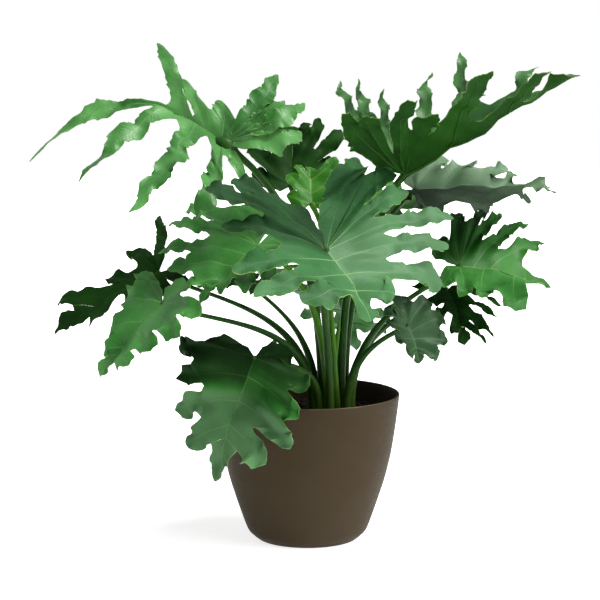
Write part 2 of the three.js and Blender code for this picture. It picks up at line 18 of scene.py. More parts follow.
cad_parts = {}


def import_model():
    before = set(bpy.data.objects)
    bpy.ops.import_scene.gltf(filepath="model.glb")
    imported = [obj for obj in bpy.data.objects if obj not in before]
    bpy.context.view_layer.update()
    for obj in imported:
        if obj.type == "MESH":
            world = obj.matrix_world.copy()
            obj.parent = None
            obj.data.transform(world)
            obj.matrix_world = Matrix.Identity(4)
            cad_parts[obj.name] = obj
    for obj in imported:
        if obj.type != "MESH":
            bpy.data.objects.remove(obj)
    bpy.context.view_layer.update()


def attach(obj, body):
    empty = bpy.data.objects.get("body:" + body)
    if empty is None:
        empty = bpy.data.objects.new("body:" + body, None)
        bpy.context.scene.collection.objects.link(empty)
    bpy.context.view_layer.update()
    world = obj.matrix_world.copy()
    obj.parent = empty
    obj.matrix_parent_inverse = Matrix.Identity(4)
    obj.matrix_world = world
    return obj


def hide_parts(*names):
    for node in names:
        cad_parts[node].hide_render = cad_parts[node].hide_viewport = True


log = logging.getLogger("philodendron")

# Units and the studio in metres, and the photograph's width in pixels
MM = 0.001
CENTIMETRE = 0.01
PHOTO_WIDTH = 600
MIRRORED_SHARE = 0.3
FLOOR_SIZE = 14.0
FLOOR_BACK = 2.0

# The pot, with its side as shares of the rim's radius and of the height
POT_HEIGHT = 207.0
POT_RIM_RADIUS = 130.0
POT_WALL = 3.0
POT_FLOOR = 4.0
POT_SIDE = (
    (0.5, 0.0), (0.6, 0.012), (0.64, 0.045), (0.69, 0.125), (0.76, 0.25),
    (0.849, 0.42), (0.912, 0.587), (0.954, 0.754), (0.988, 0.918), (1.0, 0.985),
)
POT_SIDE_BLUR = 9
BASE_DISC = 12.0
BASE_HOLLOW = 1.2

# The potting mix and the stalks that stand in it
SOIL_TOP = 178.0
SOIL_MOUND = 5.0
SOIL_EDGE = 116.0
STALK_COLLAR = 3.0
CROWN = (34.0, 4.0)
INNER_RING = 14.0
OUTER_RING = 28.0
RING_DEPTH = 1.35
ROOT_DEPTH = 40.0
FOOT_RADIUS = 6.0
MIDRIB_RADIUS = 2.3

# The blades: how their ribs run, how their margins wave and where their gaps start
RIB_BOW = 9.0
RIB_ARCH = 0.07
MARGIN_WAVE = 78.0
RUFFLE = 4.0
RUFFLE_WAVE = 62.0
SWERVE_WAVE = 58.0
TWIST_WAVE = 150.0
ROOM_SHARE = 0.4
TERMINAL_START = 0.06
TERMINAL_CUT = 0.5
BACK_CUT = 0.2
GAP_ROUNDNESS = 11.0
TOOTH_PEAK = 0.7
TOOTH_LEAN = 0.45
CRIMP = 0.6
KNUCKLE_HIDDEN = 2.8
TUBE_SINK = 0.3
BLADE_THICKNESS = 0.9

# How fine the meshes of the leaves are
COLUMNS = 9
ROW_LENGTH = 2.6
ROW_BUNCHING = 0.11
STALK_SIDES = 14
STALK_ROW = 5.0
MIDRIB_ROWS = 22
RIB_SIDES = 6
RIB_ROWS = 24

Socket = bpy.types.NodeSocket
Colour = tuple[float, float, float]
Spot = tuple[float, float, float]


def unit(vectors: np.ndarray) -> np.ndarray:
    """Scales vectors, held in the last axis, to length one."""
    return vectors / np.maximum(np.linalg.norm(vectors, axis=-1, keepdims=True), 1e-12)


def smoothstep(value: np.ndarray, low: float, high: float) -> np.ndarray:
    """Eases a value from 0 at low to 1 at high."""
    share = np.clip((value - low) / (high - low), 0.0, 1.0)
    return share * share * (3.0 - 2.0 * share)


def grown(share: np.ndarray) -> np.ndarray:
    """Tells how far a wave has grown in over the first quarter of a lobe."""
    return np.minimum(1.0, 4.0 * share)


def swell(share: np.ndarray) -> np.ndarray:
    """Eases from 0 to 1 as half a cosine wave."""
    return 0.5 - 0.5 * np.cos(math.pi * np.clip(share, 0.0, 1.0))


def turned(first: np.ndarray, second: np.ndarray, angle: np.ndarray) -> tuple[np.ndarray, np.ndarray]:
    """Turns two coordinates of many lumps, each lump by its own angle."""
    cos, sin = np.cos(angle)[:, None], np.sin(angle)[:, None]
    return first * cos - second * sin, first * sin + second * cos


@dataclass
class Sheet:
    """A grid of points with the values that its finish reads.

    Attributes:
        points: Rows by columns by three, in millimetres.
        strip: Rows by columns by two, in centimetres along a rib and away from it.
        line: Rows by columns, the distance from a vein as a share of that vein's half width.
        tone: Rows by columns, painted shade and light: how much darker or lighter the skin is painted against
            the usual.
    """

    points: np.ndarray
    strip: np.ndarray
    line: np.ndarray
    tone: np.ndarray


class Bench:
    """Mesh work that several pieces share, done with the usual operators."""

    @staticmethod
    def clear() -> None:
        """Leaves edit mode and deselects everything."""
        if bpy.context.object and bpy.context.object.mode != "OBJECT":
            bpy.ops.object.mode_set(mode="OBJECT")
        bpy.ops.object.select_all(action="DESELECT")

    @staticmethod
    def take(piece: bpy.types.Object) -> None:
        """Selects one piece alone and makes it active."""
        Bench.clear()
        piece.select_set(True)
        bpy.context.view_layer.objects.active = piece

    @staticmethod
    def laid(name: str, sheets: list[Sheet]) -> bpy.types.Object:
        """Adds a grid for each sheet, lays it over the sheet's points and joins what meets.

        Args:
            name: Name of the new piece.
            sheets: The sheets, whose shared edges have the same points.

        Returns:
            One object, with the sheets' values as the UV maps "strip" and "blade" and the map of painted
            shade and light.
        """
        Bench.clear()
        for order, sheet in enumerate(sheets):
            rows, columns = sheet.line.shape
            bpy.ops.mesh.primitive_grid_add(x_subdivisions=columns - 1, y_subdivisions=rows - 1)
            if order == 0:
                bpy.ops.object.mode_set(mode="EDIT")
        bpy.ops.object.mode_set(mode="OBJECT")
        piece = bpy.context.object
        mesh = piece.data
        piece.name = mesh.name = name
        points = np.concatenate([sheet.points.reshape(-1, 3) for sheet in sheets]) * MM
        mesh.vertices.foreach_set("co", points.astype(np.float32).ravel())
        line = np.concatenate([sheet.line.ravel() for sheet in sheets])
        tone = np.concatenate([sheet.tone.ravel() for sheet in sheets])
        maps = {
            "strip": np.concatenate([sheet.strip.reshape(-1, 2) for sheet in sheets]),
            "blade": np.stack([np.ones_like(line), line], -1),
            # The third map carries each point's painted shade and light.
            "tone": np.stack([tone, np.zeros_like(tone)], -1),
        }
        for layer, values in maps.items():
            Bench.write_map(mesh, layer, values)
        for spare in [layer.name for layer in mesh.uv_layers if layer.name not in maps]:
            mesh.uv_layers.remove(mesh.uv_layers[spare])
        mesh.update()
        bpy.ops.object.mode_set(mode="EDIT")
        bpy.ops.mesh.select_all(action="SELECT")
        bpy.ops.mesh.remove_doubles(threshold=0.02 * MM)
        bpy.ops.mesh.dissolve_degenerate(threshold=0.01 * MM)
        bpy.ops.object.mode_set(mode="OBJECT")
        piece.location = (0.0, 0.0, 0.0)
        return piece

    @staticmethod
    def of_corners(mesh: bpy.types.Mesh, name: str) -> np.ndarray:
        """Reads an index that each corner of the faces holds."""
        values = np.empty(len(mesh.loops), dtype=np.int32)
        mesh.loops.foreach_get(name, values)
        return values

    @staticmethod
    def write_map(mesh: bpy.types.Mesh, name: str, values: np.ndarray) -> None:
        """Writes a pair of values for each vertex into a UV map."""
        layer = mesh.uv_layers.get(name) or mesh.uv_layers.new(name=name)
        spread = values[Bench.of_corners(mesh, "vertex_index")]
        layer.data.foreach_set("uv", spread.astype(np.float32).ravel())

    @staticmethod
    def mark_margin(piece: bpy.types.Object) -> None:
        """Writes each point's distance from the open margin, in centimetres, into the map "blade"."""
        mesh = piece.data
        uses = np.bincount(Bench.of_corners(mesh, "edge_index"), minlength=len(mesh.edges))
        ends = np.empty(2 * len(mesh.edges), dtype=np.int32)
        mesh.edges.foreach_get("vertices", ends)
        rim = np.unique(ends.reshape(-1, 2)[uses == 1])
        tree = KDTree(len(rim))
        for place, vertex in enumerate(rim):
            tree.insert(mesh.vertices[vertex].co, place)
        tree.balance()
        distance = np.array([tree.find(vertex.co)[2] for vertex in mesh.vertices])
        layer = mesh.uv_layers["blade"]
        values = np.empty(2 * len(mesh.loops), dtype=np.float32)
        layer.data.foreach_get("uv", values)
        values[0::2] = distance[Bench.of_corners(mesh, "vertex_index")] / CENTIMETRE
        layer.data.foreach_set("uv", values)

    @staticmethod
    def finish(piece: bpy.types.Object, angle: float = 50.0) -> None:
        """Shades a piece smooth up to an angle, in degrees."""
        Bench.take(piece)
        bpy.ops.object.shade_smooth_by_angle(angle=math.radians(angle))

    @staticmethod
    def joined(pieces: list[bpy.types.Object], name: str) -> bpy.types.Object:
        """Joins pieces into the first one and names it."""
        Bench.take(pieces[0])
        for piece in pieces[1:]:
            piece.select_set(True)
        bpy.ops.object.join()
        pieces[0].name = pieces[0].data.name = name
        return pieces[0]


class Tube:
    """A round bar along a list of points, as a sheet rolled round them."""

    @staticmethod
    def rolled(points: np.ndarray, radii: np.ndarray, sides: int) -> Sheet:
        """Rolls a sheet round a path and closes both ends.

        Args:
            points: The path's points, in millimetres.
            radii: The radius at each of them.
            sides: How many faces go round.

        Returns:
            The sheet, with its first and last columns on each other.
        """
        points = np.concatenate([points[:1], points, points[-1:]])
        radii = np.concatenate([[0.0], radii, [0.0]])
        along = unit(np.gradient(points[1:-1], axis=0))
        along = np.concatenate([along[:1], along, along[-1:]])
        across = np.array([1.0, 0.0, 0.0])
        turns = -2.0 * math.pi * np.arange(sides + 1) / sides
        turns[-1] = 0.0
        rings = []
        for spot, radius, way in zip(points, radii, along):
            across = unit(across - way * float(across @ way))
            other = np.cross(way, across)
            rings.append(spot + radius * (np.outer(np.cos(turns), across) + np.outer(np.sin(turns), other)))
        rings = np.stack(rings)
        travelled = np.concatenate([[0.0], np.cumsum(np.linalg.norm(np.diff(points, axis=0), axis=1))]) / 10.0
        strip = np.stack(np.broadcast_arrays(travelled[:, None], np.abs(turns)[None, :] / math.pi), -1)
        flat = np.ones(rings.shape[:2])
        return Sheet(rings[:, ::-1], strip[:, ::-1].copy(), 0.0 * flat, flat)


class Nodes:
    """A tree of nodes, added one at a time."""

    def __init__(self, tree: bpy.types.NodeTree) -> None:
        """Starts with the tree that the nodes go into."""
        self.tree = tree

    def node(self, kind: str, **settings: object) -> bpy.types.Node:
        """Adds a node and sets its properties."""
        made = self.tree.nodes.new(kind)
        for name, value in settings.items():
            setattr(made, name, value)
        return made

    def join(self, source: object, target: Socket) -> None:
        """Links a socket to another, or writes a plain value into it."""
        if isinstance(source, Socket):
            self.tree.links.new(source, target)
        else:
            target.default_value = source

    def sum(self, operation: str, *values: object) -> Socket:
        """Works out one number from others."""
        made = self.node("ShaderNodeMath", operation=operation)
        for value, socket in zip(values, made.inputs):
            self.join(value, socket)
        return made.outputs["Value"]

    def eased(self, value: Socket, low: float, high: float, start: float = 0.0, end: float = 1.0) -> Socket:
        """Eases a number from start at low to end at high."""
        made = self.node("ShaderNodeMapRange", interpolation_type="SMOOTHSTEP")
        given = {"Value": value, "From Min": low, "From Max": high, "To Min": start, "To Max": end}
        for name, source in given.items():
            self.join(source, made.inputs[name])
        return made.outputs["Result"]


class Shader(Nodes):
    """A material's nodes."""

    def __init__(self, name: str) -> None:
        """Starts a material with its surface shader.

        Args:
            name: Name of the material.
        """
        self.material = bpy.data.materials.new(name)
        self.material.use_nodes = True
        super().__init__(self.material.node_tree)
        self.surface = self.tree.nodes["Principled BSDF"]

    def set(self, **values: object) -> None:
        """Sets or feeds sockets of the surface shader by their names, with _ for a space."""
        for name, value in values.items():
            self.join(value, self.surface.inputs[name.replace("_", " ")])

    def object_place(self) -> Socket:
        """Gives the place on the object, in metres."""
        return self.node("ShaderNodeTexCoord").outputs["Object"]

    def height(self, place: Socket) -> Socket:
        """Gives the height at a place on the object, in metres."""
        split = self.node("ShaderNodeSeparateXYZ")
        self.join(place, split.inputs[0])
        return split.outputs["Z"]

    def pair(self, name: str) -> tuple[Socket, Socket]:
        """Gives the two values of one of the piece's own maps."""
        split = self.node("ShaderNodeSeparateXYZ")
        self.join(self.node("ShaderNodeUVMap", uv_map=name).outputs["UV"], split.inputs[0])
        return split.outputs["X"], split.outputs["Y"]

    def noise(self, place: Socket, scale: float, detail: float = 3.0, rough: float = 0.5) -> Socket:
        """Adds a cloudy pattern with a number of features to the metre."""
        made = self.node("ShaderNodeTexNoise")
        for name, given in (("Vector", place), ("Scale", scale), ("Detail", detail), ("Roughness", rough)):
            self.join(given, made.inputs[name])
        return made.outputs["Fac"]

    def stretched(self, vector: Socket, scale: Spot) -> Socket:
        """Scales coordinates apart, so that a pattern runs in streaks."""
        made = self.node("ShaderNodeMapping")
        self.join(vector, made.inputs["Vector"])
        made.inputs["Scale"].default_value = scale
        return made.outputs["Vector"]

    def blended(self, share: object, first: object, second: object) -> Socket:
        """Mixes two colours."""
        made = self.node("ShaderNodeMix", data_type="RGBA")
        self.join(share, made.inputs["Factor"])
        for given, name in ((first, "A"), (second, "B")):
            socket = next(s for s in made.inputs if s.name == name and s.type == "RGBA")
            self.join((*given, 1.0) if isinstance(given, tuple) else given, socket)
        return next(s for s in made.outputs if s.type == "RGBA")

    def scaled(self, colour: Socket, share: Socket) -> Socket:
        """Makes a colour lighter or darker."""
        made = self.node("ShaderNodeVectorMath", operation="SCALE")
        self.join(colour, made.inputs["Vector"])
        self.join(share, made.inputs["Scale"])
        return made.outputs["Vector"]

    def relief(self, height: Socket, depth: float, strength: float = 1.0) -> None:
        """Raises the surface by a pattern, with its full height in millimetres."""
        made = self.node("ShaderNodeBump")
        for name, given in (("Strength", strength), ("Distance", depth * MM), ("Height", height)):
            self.join(given, made.inputs[name])
        self.set(Normal=made.outputs["Normal"])


@dataclass(frozen=True)
class BladeFinish:
    """The leathery skin of a blade: clouded green, pale veins and a thin pale margin, with painted shade and
    light laid over it lobe by lobe and a painted sheen where it is lightest.

    Attributes:
        name: What the material is called.
        deep: Colour of the darker clouds.
        light: Colour of the lighter ones.
        vein: Colour of the ribs and the midrib.
        margin: Colour of the outermost millimetre.
        gloss: Roughness of the skin.
        vein_share: How strongly the veins show.
        shine: How strongly the skin mirrors the room.
        painted_sheen: Colour of the painted sheen mixed into the skin where it is painted lightest.
    """

    name: str
    deep: Colour
    light: Colour
    vein: Colour
    margin: Colour
    gloss: float = 0.42
    vein_share: float = 0.6
    shine: float = 0.22
    painted_sheen: Colour = (0.085, 0.15, 0.085)

    def material(self) -> bpy.types.Material:
        """Builds the material."""
        skin = Shader(self.name)
        place = skin.object_place()
        along, away = skin.pair("strip")
        edge, line = skin.pair("blade")
        cloud = skin.eased(skin.noise(place, 14.0, 4.0), 0.32, 0.68)
        base = skin.blended(cloud, self.deep, self.light)
        drift = skin.noise(place, 60.0, 2.0)
        slant = skin.sum("MULTIPLY_ADD", away, -0.85, along)
        slant = skin.sum("MULTIPLY_ADD", drift, 0.5, slant)
        side_vein = skin.sum("PINGPONG", skin.sum("DIVIDE", slant, 0.62), 0.5)
        thread = skin.eased(side_vein, 0.0, 0.16, 1.0, 0.0)
        faint = skin.sum("MULTIPLY", thread, 0.05)
        base = skin.blended(faint, base, self.vein)
        rib = skin.eased(line, 0.5, 1.6, 1.0, 0.0)
        spine = skin.eased(along, 0.04, 0.17, 1.0, 0.0)
        near_root = skin.eased(along, 0.0, 11.0, self.vein_share, 0.25 * self.vein_share)
        veins = skin.sum("MULTIPLY", skin.sum("MAXIMUM", rib, spine), near_root)
        base = skin.blended(veins, base, self.vein)
        patchy = skin.eased(skin.noise(place, 35.0, 2.0), 0.35, 0.65, 0.15, 0.7)
        rim = skin.sum("MULTIPLY", skin.eased(edge, 0.02, 0.1, 1.0, 0.0), patchy)
        base = skin.blended(rim, base, self.margin)
        # Painted shade and light: the piece's own map darkens or lightens the skin, lobe by lobe.
        tone, _ = skin.pair("tone")
        base = skin.scaled(base, tone)
        # Painted sheen: a pale grey-green veil mixed in where the skin is painted lightest, standing in for
        # mirrored light.
        base = skin.blended(skin.eased(tone, 0.9, 1.6, 0.0, 0.6), base, self.painted_sheen)
        fine = skin.noise(place, 420.0, 3.0)
        gloss = skin.eased(fine, 0.3, 0.7, self.gloss + 0.15, self.gloss + 0.28)
        skin.set(Base_Color=base, Roughness=skin.sum("MULTIPLY_ADD", tone, -0.2, gloss))
        dip = skin.sum("MULTIPLY", skin.sum("MAXIMUM", thread, skin.sum("MAXIMUM", rib, spine)), -0.3)
        height = skin.sum("MULTIPLY_ADD", fine, 0.12, dip)
        skin.relief(height, 0.5, 0.7)
        skin.set(Specular_IOR_Level=self.shine, Subsurface_Weight=0.1, Subsurface_Scale=0.002)
        skin.set(Subsurface_Radius=(0.5, 1.0, 0.2))
        return skin.material


@dataclass(frozen=True)
class StalkFinish:
    """The smooth skin of a stalk: fine lengthwise streaks, paler towards its foot.

    Attributes:
        name: What the material is called.
        green: Colour of most of its length.
        streak: Colour of the streaks.
        foot: Colour near the soil.
        gloss: Roughness of the skin.
    """

    name: str
    green: Colour
    streak: Colour
    foot: Colour
    gloss: float = 0.4

    def material(self) -> bpy.types.Material:
        """Builds the material."""
        skin = Shader(self.name)
        place = skin.object_place()
        lines = skin.noise(skin.stretched(place, (900.0, 900.0, 40.0)), 1.0, 3.0)
        streaks = skin.eased(lines, 0.45, 0.7, 0.0, 0.7)
        base = skin.blended(streaks, self.green, self.streak)
        low = skin.eased(skin.height(place), (SOIL_TOP - 5.0) * MM, (SOIL_TOP + 75.0) * MM, 0.85, 0.0)
        patch = skin.eased(skin.noise(place, 45.0, 3.0), 0.4, 0.75, 0.6, 1.0)
        base = skin.blended(skin.sum("MULTIPLY", low, patch), base, self.foot)
        skin.set(Base_Color=base, Roughness=skin.eased(lines, 0.3, 0.7, self.gloss - 0.06, self.gloss + 0.1))
        skin.relief(lines, 0.25, 0.6)
        skin.set(Specular_IOR_Level=0.12, Subsurface_Weight=0.1, Subsurface_Scale=0.003)
        return skin.material


@dataclass(frozen=True)
class PlasticFinish:
    """Moulded pot plastic: a matt brown with a fine grain, and a patchy painted highlight along the top of
    the rim.
    """

    name: str = "pot plastic"
    brown: Colour = (0.03, 0.0205, 0.0095)
    dusty: Colour = (0.036, 0.0255, 0.0135)
    rim_highlight: Colour = (0.12, 0.095, 0.065)
    gloss: float = 0.6

    def material(self) -> bpy.types.Material:
        """Builds the material."""
        skin = Shader(self.name)
        place = skin.object_place()
        cloud = skin.eased(skin.noise(place, 9.0, 5.0, 0.6), 0.35, 0.7, 0.0, 0.6)
        base = skin.blended(cloud, self.brown, self.dusty)
        # Painted highlight: a lighter band along the top of the rim, broken into patches by a cloudy pattern.
        top = skin.eased(skin.height(place), (POT_HEIGHT - 1.6) * MM, (POT_HEIGHT - 0.3) * MM, 0.0, 0.7)
        highlight_patches = skin.eased(skin.noise(place, 70.0, 4.0), 0.35, 0.6, 0.45, 1.0)
        base = skin.blended(skin.sum("MULTIPLY", top, highlight_patches), base, self.rim_highlight)
        grain = skin.noise(place, 1500.0, 2.0, 0.6)
        scuff = skin.noise(skin.stretched(place, (60.0, 60.0, 900.0)), 1.0, 2.0)
        rough = skin.eased(scuff, 0.3, 0.75, self.gloss - 0.06, self.gloss + 0.08)
        skin.set(Base_Color=base, Roughness=rough)
        skin.relief(grain, 0.08, 0.6)
        skin.set(Specular_IOR_Level=0.08)
        return skin.material


@dataclass(frozen=True)
class SoilFinish:
    """Moist potting mix: almost black brown with paler bark and fibres."""

    name: str = "potting mix"
    dark: Colour = (0.012, 0.0085, 0.0062)
    bark: Colour = (0.048, 0.032, 0.02)
    fibre: Colour = (0.07, 0.05, 0.03)

    def material(self) -> bpy.types.Material:
        """Builds the material."""
        skin = Shader(self.name)
        place = skin.object_place()
        clump = skin.noise(place, 160.0, 5.0, 0.65)
        base = skin.blended(skin.eased(clump, 0.42, 0.72), self.dark, self.bark)
        speck = skin.eased(skin.noise(place, 420.0, 3.0, 0.7), 0.62, 0.75, 0.0, 0.7)
        base = skin.blended(speck, base, self.fibre)
        skin.relief(skin.noise(place, 600.0, 5.0, 0.7), 1.2)
        skin.set(Base_Color=base, Roughness=0.95, Specular_IOR_Level=0.2)
        return skin.material


@dataclass(frozen=True)
class FloorFinish:
    """A plain, pale, matt floor of milky glass, lit a little from below."""

    name: str = "pale floor"
    pale: Colour = (0.88, 0.88, 0.88)
    fleck: Colour = (0.86, 0.86, 0.86)
    glow: float = 0.78

    def material(self) -> bpy.types.Material:
        """Builds the material."""
        skin = Shader(self.name)
        cloud = skin.noise(skin.object_place(), 3.0, 2.0)
        base = skin.blended(cloud, self.pale, self.fleck)
        skin.set(Base_Color=base, Roughness=0.9, Specular_IOR_Level=0.1)
        skin.set(Emission_Color=(1.0, 1.0, 1.0, 1.0), Emission_Strength=self.glow)
        return skin.material


class Age(Enum):
    """The skins of the leaves, from the rolled-out new leaf to the old ones; the shaded skin is a darker copy
    that paints shade on leaves deep in the plant.
    """

    YOUNG = "young"
    LIGHT = "light"
    FRESH = "fresh"
    BROAD = "broad"
    SILVERY = "silvery"
    OLIVE = "olive"
    GREY = "grey"
    DEEP = "deep"
    SHADED = "shaded"


UPPER_FINISH = {
    Age.YOUNG: BladeFinish(
        "young blade", (0.012, 0.11, 0.003), (0.035, 0.18, 0.008), (0.14, 0.28, 0.04), (0.16, 0.27, 0.03),
    ),
    Age.LIGHT: BladeFinish(
        "light blade", (0.015, 0.115, 0.012), (0.047, 0.21, 0.035), (0.15, 0.33, 0.09), (0.17, 0.3, 0.06),
        0.42, 0.55,
    ),
    Age.FRESH: BladeFinish(
        "fresh blade", (0.008, 0.075, 0.006), (0.03, 0.132, 0.022), (0.1, 0.24, 0.06), (0.16, 0.28, 0.05),
        shine=0.1,
    ),
    Age.BROAD: BladeFinish(
        "broad blade", (0.011, 0.062, 0.014), (0.032, 0.118, 0.037), (0.17, 0.3, 0.11), (0.2, 0.32, 0.07),
        0.46, 0.6, 0.06,
    ),
    Age.SILVERY: BladeFinish(
        "silvery blade", (0.014, 0.1, 0.01), (0.065, 0.215, 0.05), (0.12, 0.25, 0.08), (0.13, 0.16, 0.05),
        0.36, 0.5,
    ),
    Age.OLIVE: BladeFinish(
        "olive blade", (0.05, 0.1, 0.05), (0.1, 0.175, 0.098), (0.12, 0.2, 0.1), (0.13, 0.2, 0.08), 0.45,
        0.5, 0.1,
    ),
    Age.GREY: BladeFinish(
        "grey blade", (0.007, 0.031, 0.007), (0.018, 0.054, 0.018), (0.05, 0.12, 0.04), (0.09, 0.14, 0.04),
        0.45, 0.5, 0.14,
    ),
    Age.DEEP: BladeFinish(
        "deep blade", (0.01, 0.07, 0.008), (0.045, 0.15, 0.035), (0.1, 0.22, 0.06), (0.14, 0.24, 0.04),
        0.38,
    ),
    # A darker copy of a blade's skin, which paints shade on the leaves deep inside the plant.
    Age.SHADED: BladeFinish(
        "shaded blade", (0.003, 0.02, 0.0015), (0.008, 0.042, 0.004), (0.015, 0.055, 0.008),
        (0.04, 0.09, 0.01), shine=0.02,
    ),
}
UNDER_FINISH = {
    Age.YOUNG: BladeFinish(
        "young underside", (0.035, 0.15, 0.01), (0.065, 0.2, 0.02), (0.13, 0.24, 0.05), (0.13, 0.23, 0.03),
        0.5,
    ),
    Age.FRESH: BladeFinish(
        "fresh underside", (0.01, 0.072, 0.009), (0.021, 0.105, 0.016), (0.07, 0.17, 0.035),
        (0.09, 0.17, 0.03), 0.5, shine=0.12,
    ),
    Age.DEEP: BladeFinish(
        "deep underside", (0.005, 0.032, 0.002), (0.009, 0.052, 0.003), (0.02, 0.078, 0.006),
        (0.1, 0.19, 0.02), 0.5, shine=0.03,
    ),
}
UNDER_OF: dict[Age, Age] = dict.fromkeys(Age, Age.FRESH)
UNDER_OF[Age.YOUNG] = Age.YOUNG
UNDER_OF.update(dict.fromkeys((Age.GREY, Age.DEEP, Age.SHADED), Age.DEEP))


class StalkKind(Enum):
    """The two looks of the stalks: the dark outer ones and the bright ones at the heart."""

    OUTER = "outer"
    INNER = "inner"


STALK_FINISH = {
    StalkKind.OUTER: StalkFinish(
        "outer stalk", (0.01, 0.05, 0.004), (0.026, 0.09, 0.009), (0.07, 0.12, 0.016),
    ),
    StalkKind.INNER: StalkFinish(
        "inner stalk", (0.04, 0.15, 0.006), (0.08, 0.23, 0.014), (0.17, 0.27, 0.04),
    ),
}
Finish = BladeFinish | StalkFinish | PlasticFinish | SoilFinish | FloorFinish


class Palette:
    """The materials made so far, each built once."""

    def __init__(self) -> None:
        """Starts with no materials."""
        self.made: dict[str, bpy.types.Material] = {}

    def of(self, finish: Finish) -> bpy.types.Material:
        """Gives a finish's material."""
        if finish.name not in self.made:
            self.made[finish.name] = finish.material()
        return self.made[finish.name]


@dataclass(frozen=True)
class Foot:
    """Where a stalk stands in the soil."""

    x: float
    y: float
    radius: float

    @staticmethod
    def on_ring(ring: float, bearing: float, radius: float) -> "Foot":
        """Places a foot on an oval ring round the crown, which is deeper than wide.

        Args:
            ring: Half the ring's width.
            bearing: Direction from the crown, in degrees from +X towards +Y.
            radius: Radius of the stalk there.

        Returns:
            The foot.
        """
        turn = math.radians(bearing)
        return Foot(CROWN[0] + ring * math.cos(turn), CROWN[1] + RING_DEPTH * ring * math.sin(turn), radius)

    def bottom(self) -> np.ndarray:
        """Gives the stalk's lowest point, in the soil."""
        return np.array([self.x, self.y, SOIL_TOP - ROOT_DEPTH])

    def top(self) -> np.ndarray:
        """Gives the point where the stalk starts to lean."""
        return np.array([self.x, self.y, SOIL_TOP + SOIL_MOUND + STALK_COLLAR])


@dataclass(frozen=True)
class Lobe:
    """One strap of a blade.

    Attributes:
        angle: Direction of its rib, in degrees from the midrib.
        length: Length of its rib.
        rise: Height of its end above the blade's plane.
        cut: Where the gap after it starts, as a share of its rib, if that differs from the rest of its half.
        width: Its own width, if that differs.
        tone: Painted shade and light on its skin against the rest of the leaf, darker below 1 and lighter
            above.
    """

    angle: float
    length: float
    rise: float = 0.0
    cut: float | None = None
    width: float | None = None
    tone: float = 1.0


@dataclass(frozen=True)
class Half:
    """One half of a blade, with its lobes from the back of the leaf round to its end.

    Attributes:
        width: Usual width of a lobe.
        lobes: The lobes.
        cut: Where the gaps start, as a share of the ribs beside them.
        basal: How many lobes spring from the joint, if not as many as the leaf says.
        reach: Share of the midrib that carries lobes, if not what the leaf says.
        lively: How strongly its margins wave against those of the rest of the leaf.
    """

    width: float
    lobes: tuple[Lobe, ...]
    cut: float = 0.32
    basal: int | None = None
    reach: float | None = None
    lively: float = 1.0

    def cuts(self) -> list[float]:
        """Lists the start of the gap after each lobe."""
        return [self.cut if lobe.cut is None else lobe.cut for lobe in self.lobes]


@dataclass(frozen=True)
class Rib:
    """A lobe's rib as a bent line, with what its two margins need.

    Attributes:
        side: 1 on the leaf's left half and -1 on its right.
        root: Where it leaves the midrib.
        bend: The middle handle of its curve.
        tip: Its end.
        length: Its length.
        width: Width of the lobe.
        back: Share of the rib at which the gap on its back side starts.
        front: The same for the side towards the leaf's end.
        phase: Start of its margin's waves.
        swerve: How far it swings to either side past the gap.
        tone: Painted shade and light on its skin.
        lively: How strongly its margins wave.
        last: True for the lobe at the leaf's end.
    """

    side: int
    root: np.ndarray
    bend: np.ndarray
    tip: np.ndarray
    length: float
    width: float
    back: float
    front: float
    phase: float
    swerve: float = 0.0
    tone: float = 1.0
    lively: float = 1.0
    last: bool = False

    def split(self) -> float:
        """Gives the share of the rib at which its lobe comes free."""
        return 0.0 if self.last else (self.back + self.front) / 2.0

    def free(self, share: np.ndarray | float) -> np.ndarray | float:
        """Gives how far along the lobe's free length shares of the rib lie."""
        return np.clip((share - self.split()) / (1.0 - self.split()), 0.0, 1.0)

    def past(self, toward: int, opened: np.ndarray | float) -> np.ndarray | float:
        """Gives the share of the rib that lies a share of the free length past the gap on one side."""
        cut = self.back if toward > 0 else self.front
        return cut + (1.0 - cut) * opened

    def at(self, share: np.ndarray | float) -> np.ndarray:
        """Gives the points at shares of the rib."""
        share = np.asarray(share, dtype=float)[..., None]
        arc = (1.0 - share) ** 2 * self.root + 2.0 * share * (1.0 - share) * self.bend
        arc = arc + share * share * self.tip
        swing = np.sin(2.0 * math.pi * self.length * (share - self.split()) / SWERVE_WAVE + self.phase)
        chord = unit((self.tip - self.root) * np.array([1.0, 1.0, 0.0]))
        sideways = np.array([-chord[1], chord[0], 0.0])
        return arc + sideways * self.swerve * swing * np.minimum(1.0, 2.5 * self.free(share))

    def outward(self, share: np.ndarray | float, toward: int) -> np.ndarray:
        """Gives the level directions away from the rib, to its back (1) or towards the leaf's end (-1)."""
        way = self.along(share)
        flat = np.stack([-way[..., 1], way[..., 0], np.zeros_like(way[..., 0])], -1)
        return unit(flat) * self.side * toward

    def along(self, share: np.ndarray | float) -> np.ndarray:
        """Gives the rib's directions at shares of its length."""
        share = np.asarray(share, dtype=float)
        return unit(self.at(share + 0.01) - self.at(share - 0.01))


